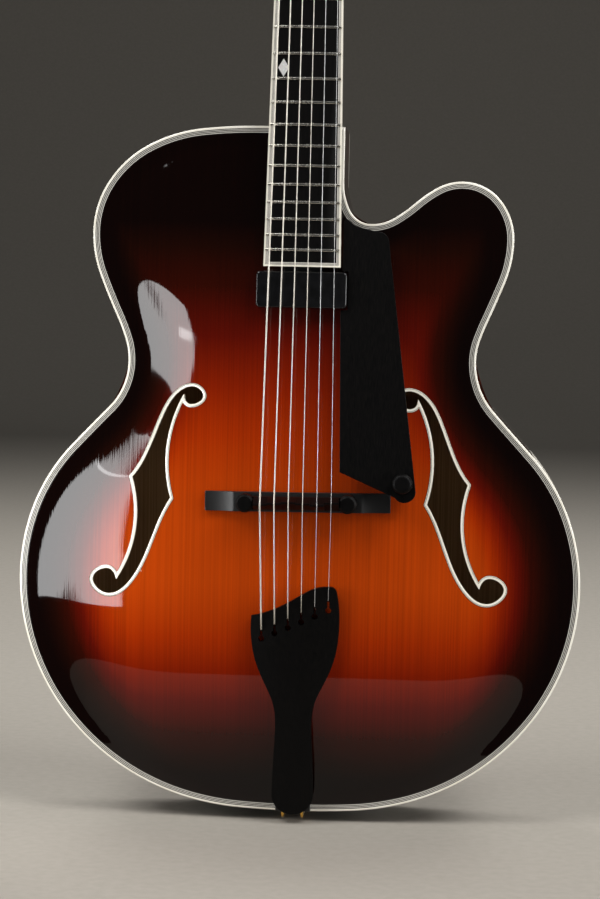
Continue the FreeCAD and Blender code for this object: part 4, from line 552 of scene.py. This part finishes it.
def arching(points):
    """The arch's height as a share of its full rise, and the soft depth, at points of the outline's plane."""
    depth = soft_depth(points)
    middle = np.maximum(np.interp(points.imag, levels, deepest) - LEDGE, LEDGE)
    up = points.imag - TAIL_Z
    along = swell((up - LEDGE) / TAIL_RUN) * swell((BODY_LENGTH - LEDGE - up) / NECK_RUN)
    return along * swell((depth - LEDGE) / middle / CROWN), depth


print("arch rises", round(TOP_RISE / MM, 1), "mm, deepest", round(deepest.max() / MM, 1), "mm")

# %% [markdown]
# The sound holes. Their bound edges are solids in the frame. The rims where each hoop meets the hole and the
# top are read from its mesh: the sharp edges between its front and its walls, chained into loops.

# %% Sound hole rims
JOIN_DISTANCE = 0.002 * MM
FRONT_NORMAL = -0.7
WALL_NORMAL = 0.35


def take(piece):
    """Makes a piece the only one that operators act on."""
    bpy.ops.object.select_all(action="DESELECT")
    piece.select_set(True)
    bpy.context.view_layer.objects.active = piece


def merged_copy(node, name):
    """A copy of a node's mesh as a piece of its own, its loose triangles joined."""
    piece = frame["nodes"][node].copy()
    piece.data = piece.data.copy()
    piece.name = piece.data.name = name
    for key in list(piece.keys()):
        del piece[key]
    piece.parent = None
    piece.matrix_world = Matrix.Identity(4)
    piece.hide_render = piece.hide_viewport = False
    scene.collection.objects.link(piece)
    take(piece)
    bpy.ops.object.mode_set(mode="EDIT")
    bpy.ops.mesh.select_all(action="SELECT")
    bpy.ops.mesh.remove_doubles(threshold=JOIN_DISTANCE)
    bpy.ops.object.mode_set(mode="OBJECT")
    piece.data.materials.clear()
    piece.data.attributes.active_color_index = -1
    return piece


def front_rims(piece):
    """Closed rims between a mesh's front and its walls, as complex points."""
    mesh = piece.data
    normals = {}
    for face in mesh.polygons:
        for key in face.edge_keys:
            normals.setdefault(key, []).append(face.normal.y)
    beside = {}
    for (a, b), pair in normals.items():
        if len(pair) == 2 and min(pair) < FRONT_NORMAL and abs(max(pair)) < WALL_NORMAL:
            beside.setdefault(a, []).append(b)
            beside.setdefault(b, []).append(a)
    loops = []
    while beside:
        here = next(iter(beside))
        loop = [here]
        while here in beside:
            onward = [n for n in beside.pop(here) if n in beside]
            if onward:
                here = onward[0]
                loop.append(here)
        loops.append(np.array([complex(mesh.vertices[k].co.x, mesh.vertices[k].co.z) for k in loop]))
    return loops


def area(loop):
    """The area inside a closed loop."""
    return abs((loop * np.roll(loop, -1).conjugate()).imag.sum() / 2)


solid_hoops = merged_copy("f_hole_bindings", "solid_hoops")
rims = sorted(front_rims(solid_hoops), key=area)
bpy.data.objects.remove(solid_hoops)
hole_rims, hoop_rims = rims[:2], rims[2:]
print("sound hole rims", [len(loop) for loop in rims], "points, areas",
      [round(area(loop) / MM ** 2) for loop in rims], "square mm")

# %% [markdown]
# The skins. The solids' uneven triangles would break up a mirror finish. So each plate's face is laid out
# again as an even net of points inside its edge, with the holes kept open, and each point is lifted by the
# arching. Operators can't lay such a net round holes, so a triangulation does it. Solidify then gives it the
# plate's thickness, and the inner face stays bare wood.

# %% Plate skins
NET = 3.4 * MM
SKIN = 2.6 * MM
PURFLING_INSET = 6 * MM
BACK_INSET = 1.8 * MM
RIM_MARGIN = 0.55
NET_TOLERANCE = 1e-7


def ring(inset):
    """The outline moved inward."""
    return outline + inward * inset


def nearest(points, loop):
    """Each point's distance from the nearest point of a loop."""
    return np.concatenate([np.abs(some[:, None] - loop).min(1) for some in np.array_split(points, PORTIONS)])


def between(points, edge, holes):
    """Which points lie inside an edge loop and outside its holes."""
    kept = inside(points, edge)
    for hole in holes:
        kept &= ~inside(points, hole)
    return kept


def net(edge, holes, spacing=NET):
    """Points and triangles that fill an edge loop but not its holes."""
    rows = np.arange(edge.imag.min(), edge.imag.max(), spacing * math.sqrt(3) / 2)
    columns = np.arange(edge.real.min(), edge.real.max(), spacing)
    grid = np.concatenate([columns + spacing / 2 * (k % 2) + 1j * z for k, z in enumerate(rows)])
    loops = [edge] + holes
    rim = np.concatenate(loops)
    grid = grid[between(grid, edge, holes)]
    grid = grid[nearest(grid, rim) > spacing * RIM_MARGIN]
    points = np.concatenate([rim, grid])
    links, first = [], 0
    for loop in loops:
        links += [(first + k, first + (k + 1) % len(loop)) for k in range(len(loop))]
        first += len(loop)
    flat, _, triangles, *_ = delaunay_2d_cdt([(p.real, p.imag) for p in points], links, [], 0,
                                            NET_TOLERANCE)
    flat = np.array([complex(*p) for p in flat])
    middle = np.array([flat[list(t)].mean() for t in triangles])
    return flat, [tuple(t) for t, good in zip(triangles, between(middle, edge, holes)) if good]


def smooth(piece, degrees=35):
    """Shades a piece smooth, but for edges sharper than an angle."""
    take(piece)
    bpy.ops.object.shade_smooth_by_angle(angle=math.radians(degrees))


def apply(piece, kind, **options):
    """Adds a modifier to a piece and applies it."""
    take(piece)
    modifier = piece.modifiers.new(kind.title(), kind)
    for option, value in options.items():
        setattr(modifier, option, value)
    bpy.ops.object.modifier_apply(modifier=modifier.name)


def piece_from(name, corners, faces):
    """A new piece from its corners and faces."""
    mesh = bpy.data.meshes.new(name)
    mesh.from_pydata(corners, [], faces)
    mesh.update()
    piece = bpy.data.objects.new(name, mesh)
    scene.collection.objects.link(piece)
    return piece


def note(piece, attribute, values):
    """Keeps a value on each vertex, for a finish to read."""
    kept = piece.data.attributes.new(attribute, "FLOAT", "POINT")
    kept.data.foreach_set("value", np.asarray(values, np.float32))


BURST_TAIL_SHARES = (0.05, 0.34)
BURST_NECK_SHARES = (0.43, 0.86)
BURST_EDGE = 52 * MM
BURST_EDGE_POWER = 1.4
BURST_BLEND = 6
BURST_LEAST = 0.001


def burst_value(points, depth):
    """How far a point lies from the dark edge towards the bright middle: softly the least of three fades."""
    up = (points.imag - TAIL_Z) / BODY_LENGTH
    fades = [(depth - LEDGE) / BURST_EDGE,
             (up - BURST_TAIL_SHARES[0]) / (BURST_TAIL_SHARES[1] - BURST_TAIL_SHARES[0]),
             (BURST_NECK_SHARES[1] - up) / (BURST_NECK_SHARES[1] - BURST_NECK_SHARES[0])]
    across, low, high = (np.clip(fade, BURST_LEAST, 1) for fade in fades)
    across = across ** BURST_EDGE_POWER
    return (sum(fade ** -BURST_BLEND for fade in (across, low, high)) / len(fades)) ** (-1 / BURST_BLEND)


def skin(name, edge, holes, level, rise, finish):
    """An arched plate whose outer face starts at a level and rises by up to rise, signed along Y."""
    flat, faces = net(edge, holes)
    height, depth = arching(flat)
    corners = [(p.real, level + rise * h, p.imag) for p, h in zip(flat, height)]
    if rise > 0:
        faces = [face[::-1] for face in faces]
    piece = piece_from(name, corners, faces)
    note(piece, "burst", burst_value(flat, depth))
    piece.data.materials.append(finish)
    piece.data.materials.append(bare)
    apply(piece, "SOLIDIFY", thickness=SKIN, offset=-1, material_offset=1)
    smooth(piece)
    return piece


top = skin("sunburst_top", ring(PURFLING_INSET), hoop_rims, FRONT_Y, -TOP_RISE, top_lacquer)
back = skin("flamed_back", ring(BACK_INSET), [], BACK_Y, BACK_RISE, back_lacquer)
print("skins", len(top.data.polygons), len(back.data.polygons), "faces")

# %% [markdown]
# The bound edge. Binding and purfling are strips with a small section, swept round the outline. The
# binding's outer corner is rounded by the scraper. A sweep is worked out point by point, because a bevelled
# curve would pinch at the cutaway's corner.

# %% Binding and purfling rings
BINDING_WIDTH = 1.8 * MM
BINDING_DEPTH = edge_high.y - edge_low.y
PURFLING_DEPTH = 1.5 * MM
CORNER = 0.9 * MM
CORNER_STEPS = 5


def rounded_section(width, front, depth):
    """A strip's section as (inset, y) pairs, its outer front corner rounded."""
    facing = 1 if depth > 0 else -1
    bend = [math.pi / 2 * k / CORNER_STEPS for k in range(CORNER_STEPS + 1)]
    turn = [(CORNER * (1 - math.cos(b)), front + facing * CORNER * (1 - math.sin(b))) for b in bend]
    return [(0, front + depth)] + turn + [(width, front), (width, front + depth)]


def swept(name, section, flipped=False):
    """A closed strip: its section carried round the outline."""
    count, size = len(outline), len(section)
    corners = [(p.real, y, p.imag) for inset, y in section for p in ring(inset)]
    faces = []
    for s in range(size):
        for k in range(count):
            quad = (s * count + k, s * count + (k + 1) % count,
                    (s + 1) % size * count + (k + 1) % count, (s + 1) % size * count + k)
            faces.append(quad[::-1] if flipped else quad)
    piece = piece_from(name, corners, faces)
    insets = [inset for inset, y in section]
    shares = [(inset - min(insets)) / (max(insets) - min(insets)) for inset in insets]
    note(piece, "across", np.repeat(shares, count))
    smooth(piece)
    return piece


front_edge = swept("front_binding", rounded_section(BINDING_WIDTH, FRONT_Y, BINDING_DEPTH), flipped=True)
back_edge = swept("rear_binding", rounded_section(BINDING_WIDTH, BACK_Y, -BINDING_DEPTH))
lines = swept("front_purfling", [
    (BINDING_WIDTH, FRONT_Y + PURFLING_DEPTH), (BINDING_WIDTH, FRONT_Y),
    (PURFLING_INSET, FRONT_Y), (PURFLING_INSET, FRONT_Y + PURFLING_DEPTH),
], flipped=True)
print("rings", front_edge.name, back_edge.name, lines.name)

# %% [markdown]
# The hoops round the sound holes are slim cream strips with dark lines, and stand a hair proud of the
# lacquer. A fine net between the two rims follows the arching with a slight crown, and each point knows how
# far it lies from the hole towards the top, which places the lines.

# %% Sound hole hoops
PROUD = 0.1 * MM
HOOP_CROWN = 0.15 * MM
HOOP_NET = 0.7 * MM
RULER_STEP = HOOP_NET / 4

corners, faces, across = [], [], []
sides = [sorted(loops, key=lambda loop: loop.real.mean()) for loops in (hole_rims, hoop_rims)]
for hole, rim in zip(*sides):
    flat, triangles = net(resampled(rim, HOOP_NET), [resampled(hole, HOOP_NET)], HOOP_NET)
    from_hole = nearest(flat, resampled(hole, RULER_STEP))
    from_top = nearest(flat, resampled(rim, RULER_STEP))
    share = from_hole / (from_hole + from_top)
    level = FRONT_Y - TOP_RISE * arching(flat)[0] - PROUD - HOOP_CROWN * 4 * share * (1 - share)
    faces += [tuple(k + len(corners) for k in triangle) for triangle in triangles]
    corners += [(p.real, y, p.imag) for p, y in zip(flat, level)]
    across += list(share)
hoops = piece_from("sound_hole_hoops", corners, faces)
note(hoops, "across", across)
apply(hoops, "SOLIDIFY", thickness=SKIN, offset=-1)
smooth(hoops)
print("hoops", len(hoops.data.polygons), "faces")

# %% [markdown]
# Dress a piece: give it its finish, hang it on its body, and hide the solids it stands for.

# %% Hand over the body's pieces
def dress(piece, finish, slot, *nodes):
    """Gives a piece its finish and body, and hides the nodes that it stands for. The slot is not used."""
    if not piece.data.materials:
        piece.data.materials.append(finish)
    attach(piece, body_of[nodes[0]])
    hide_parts(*nodes)


dress(top, top_lacquer, "top_lacquer", "top_plate")
dress(back, back_lacquer, "back_lacquer", "back_plate")
dress(front_edge, cream, "cream_binding", "top_binding")
dress(back_edge, cream, "cream_binding", "back_binding")
dress(lines, purfling, "purfling", "top_purfling")
dress(hoops, hoop_plies, "cream_binding", "f_hole_bindings")
print("body dressed")

# %% [markdown]
# The rigid pieces keep the solids' shapes. A sharp edge catches no light, so most are copies whose flat faces
# are joined again and whose edges get a small bevel, as sanding or polishing leaves them. The bent sides and
# other round pieces keep every face, because joining them would flatten slow curves.

# %% Bevelled copies
FLAT_DEGREES = 0.05


def bevelled(node, width_mm, degrees=32):
    """A smooth copy of a node, with its flat faces joined and its edges bevelled where it has a width."""
    piece = merged_copy(node, node + "_finished")
    if width_mm:
        bpy.ops.object.mode_set(mode="EDIT")
        bpy.ops.mesh.select_all(action="SELECT")
        bpy.ops.mesh.dissolve_limited(angle_limit=math.radians(FLAT_DEGREES))
        bpy.ops.object.mode_set(mode="OBJECT")
        apply(piece, "BEVEL", width=width_mm * MM, segments=2, limit_method="ANGLE",
              angle_limit=math.radians(degrees))
    smooth(piece, degrees)
    apply(piece, "WEIGHTED_NORMAL", keep_sharp=True)
    return piece


EBONY_BEVELS_MM = {
    "truss_rod_cover": 0.3, "tail_saddle": 0.3, "headstock_veneer": 0.4,
}
DULL_BEVELS_MM = {
    "fingerboard": 0, "tailpiece": 0.9, "pickguard": 0.5, "pickguard_support": 0.2, "bridge_saddle": 0.5,
    "volume_knob": 0.3, "bass_thumbwheel": 0, "treble_thumbwheel": 0,
}
GOLD_BEVELS_MM = {
    "tail_wire": 0, "endpin": 0.3, "tuner_housings": 0, "tuner_bushings": 0.2, "tuner_screws": 0,
    "truss_rod_cover_screws": 0,
}
TUNERS = 6
for n in range(1, TUNERS + 1):
    GOLD_BEVELS_MM[f"tuner_post_{n}"] = 0
    GOLD_BEVELS_MM[f"tuner_key_{n}"] = 0
GROUPS = [
    (ebony, "ebony", EBONY_BEVELS_MM),
    (satin_ebony, "ebony", {"bridge_base": 0.5}),
    (board_ebony, "ebony", DULL_BEVELS_MM),
    (gold, "gold", GOLD_BEVELS_MM),
    (rim_lacquer, "back_lacquer", {"bass_rib": 0, "treble_rib": 0, "neck": 0.3, "heel_cap": 0.4}),
    (nickel, "fret_wire", {"frets": 0}),
    (bone, "bone", {"nut": 0.25}),
    (pearl, "pearl", {"fingerboard_inlay": 0.1}),
    (moulded, "pickup_cover", {"pickup": 0.6}),
    (steel, "steel", {"bridge_posts": 0, "truss_rod_nut": 0.1}),
    (zinc, "pot_can", {"volume_pot": 0.3}),
]
for finish, slot, widths in GROUPS:
    for node, width in widths.items():
        dress(bevelled(node, width), finish, slot, node)
print("bevelled copies", sum(len(widths) for _, _, widths in GROUPS))

# %% [markdown]
# The fingerboard's binding is cream outside with black and white lines inside it, along both sides and round
# the end over the body. Each vertex gets its distance from the nearer outer edge.

# %% Fingerboard binding
board_edge = bevelled("fingerboard_binding", 0)
board_low, board_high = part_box("fingerboard_binding")
WIDE_END = board_high.x
NUT_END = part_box("nut")[1].x
BOARD_BINDING = 3.6 * MM
deep = []
for vertex in board_edge.data.vertices:
    up = (vertex.co.z - board_low.z) / (board_high.z - board_low.z)
    half = WIDE_END + (NUT_END - WIDE_END) * up
    deep.append(min(half - abs(vertex.co.x), vertex.co.z - board_low.z) / BOARD_BINDING)
note(board_edge, "across", np.clip(deep, 0, 1))
dress(board_edge, board_plies, "cream_binding", "fingerboard_binding")
print("board binding", round(WIDE_END / MM, 1), round(NUT_END / MM, 1))

# %% [markdown]
# The strings run from their ball ends under the tailpiece over its edge, over the saddle and the nut to their
# posts. They spread from nut to saddle, and lie there on the fingerboard's curve, tilted with the neck. The
# saddle is slanted and staggered for tuning, and the ball ends step down the tailpiece from the thin string
# to the thick one.

# %% Where the strings run
GAUGES_MM = {1: 0.3, 2: 0.38, 3: 0.56, 4: 0.8, 5: 1.02, 6: 1.27}
STRINGS = len(GAUGES_MM)
TAIL_SPREAD = 50.6 * MM
SADDLE_SPREAD = 53.6 * MM
NUT_SPREAD = 37.5 * MM

FIRST_BALL = Vector((0, -62.834, 173.75)) * MM
BALL_STEP = 4.6 * MM
TAIL_SLOPE = 0.098
TAIL_CROWN = 150 * MM
CREST_RISE = 5 * MM
CREST_AHEAD = 2.55 * MM

NECK_TILT = Matrix.Rotation(math.radians(-4), 3, "X")
BOARD_RADIUS = 305 * MM
SADDLE_MIDDLE = Vector((0, -83.8745, 250.485)) * MM
SADDLE_SLANT = math.radians(0.6)
STAGGER = 0.9 * MM
STAGGER_WAYS = {1: 1, 2: -1, 4: 1, 6: -1}
NUT_MIDDLE = Vector((0, -36.33, 885.91)) * MM

FIRST_POST = Vector((23.42, -22.57, 934.94)) * MM
POST_STEP = Vector((1.95, 12.67, 38.995)) * MM


def on_neck(middle, across, up=0):
    """A point beside a middle one, on the fingerboard's curve and tilted with the neck."""
    return middle + NECK_TILT @ Vector((across, across ** 2 / (2 * BOARD_RADIUS), up))


def string_points(number):
    """Ball end, crest on the tailpiece, saddle, nut and post of a string, from 1, the thin one, to 6."""
    share = 0.5 - (number - 1) / (STRINGS - 1)
    across = TAIL_SPREAD * share
    down = BALL_STEP * (number - 1)
    ball = FIRST_BALL + Vector((across, across ** 2 / (2 * TAIL_CROWN) + TAIL_SLOPE * down, -down))
    crest = ball + Vector((0, -CREST_RISE - GAUGES_MM[number] * MM, CREST_AHEAD))
    across = SADDLE_SPREAD * share
    stagger = STAGGER * STAGGER_WAYS.get(number, 0)
    saddle = on_neck(SADDLE_MIDDLE, across, across * math.tan(SADDLE_SLANT) + stagger)
    nut = on_neck(NUT_MIDDLE, NUT_SPREAD * share)
    post = FIRST_POST + POST_STEP * min(number - 1, STRINGS - number)
    post.x = math.copysign(post.x, share)
    return ball, crest, saddle, nut, post


print("string 1 runs over", [tuple(round(c / MM, 2) for c in point) for point in string_points(1)])

# %% [markdown]
# The saddle can be raised, and then a string bends with it. So each string is made in two lengths that meet
# on the saddle, and each length blends from the guitar's body to the saddle's.

# %% Strings
PLAIN_STRINGS = 2
RUN_STEP = 12 * MM


def wire(name, spots, diameter):
    """A round wire through points, as a mesh with enough rings to bend."""
    path = []
    for a, b in zip(spots, spots[1:]):
        count = max(1, round((b - a).length / RUN_STEP))
        path += [a.lerp(b, k / count) for k in range(count)]
    path.append(spots[-1])
    curve = bpy.data.curves.new(name, "CURVE")
    curve.dimensions = "3D"
    curve.bevel_depth = diameter / 2
    curve.bevel_resolution = 2
    curve.use_fill_caps = True
    spline = curve.splines.new("POLY")
    spline.points.add(len(path) - 1)
    for point, place in zip(spline.points, path):
        point.co = (*place, 1)
    piece = bpy.data.objects.new(name, curve)
    scene.collection.objects.link(piece)
    take(piece)
    bpy.ops.object.convert(target="MESH")
    piece = bpy.context.object
    smooth(piece, degrees=60)
    return piece


for n, gauge in GAUGES_MM.items():
    ball, crest, saddle, nut, post = string_points(n)
    runs = {"tail": ([ball, crest, saddle], crest), "neck": ([post, nut, saddle], nut)}
    for where, (path, fixed) in runs.items():
        length = wire(f"string_{n}_{where}", path, gauge * MM)
        length.data.materials.append(steel if n <= PLAIN_STRINGS else wound)
        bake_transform(length, "instrument", "bridge_saddle_body", start=fixed, end=saddle)
        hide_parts(f"string_{n}")
print("strings", STRINGS)

# %% [markdown]
# What is left shows only through the sound holes or not at all: linings, blocks, tone bars and the truss rod.
# The solids stay as they are and take the bare wood and steel.

# %% Inner pieces
INNER = {"front_lining": bare, "back_lining": bare, "neck_block": bare, "tail_block": bare, "tone_bars": bare,
         "truss_rod": steel}
for node, finish in INNER.items():
    solid = frame["nodes"][node]
    solid.data.materials.clear()
    solid.data.materials.append(finish)
print("inner pieces", list(INNER))
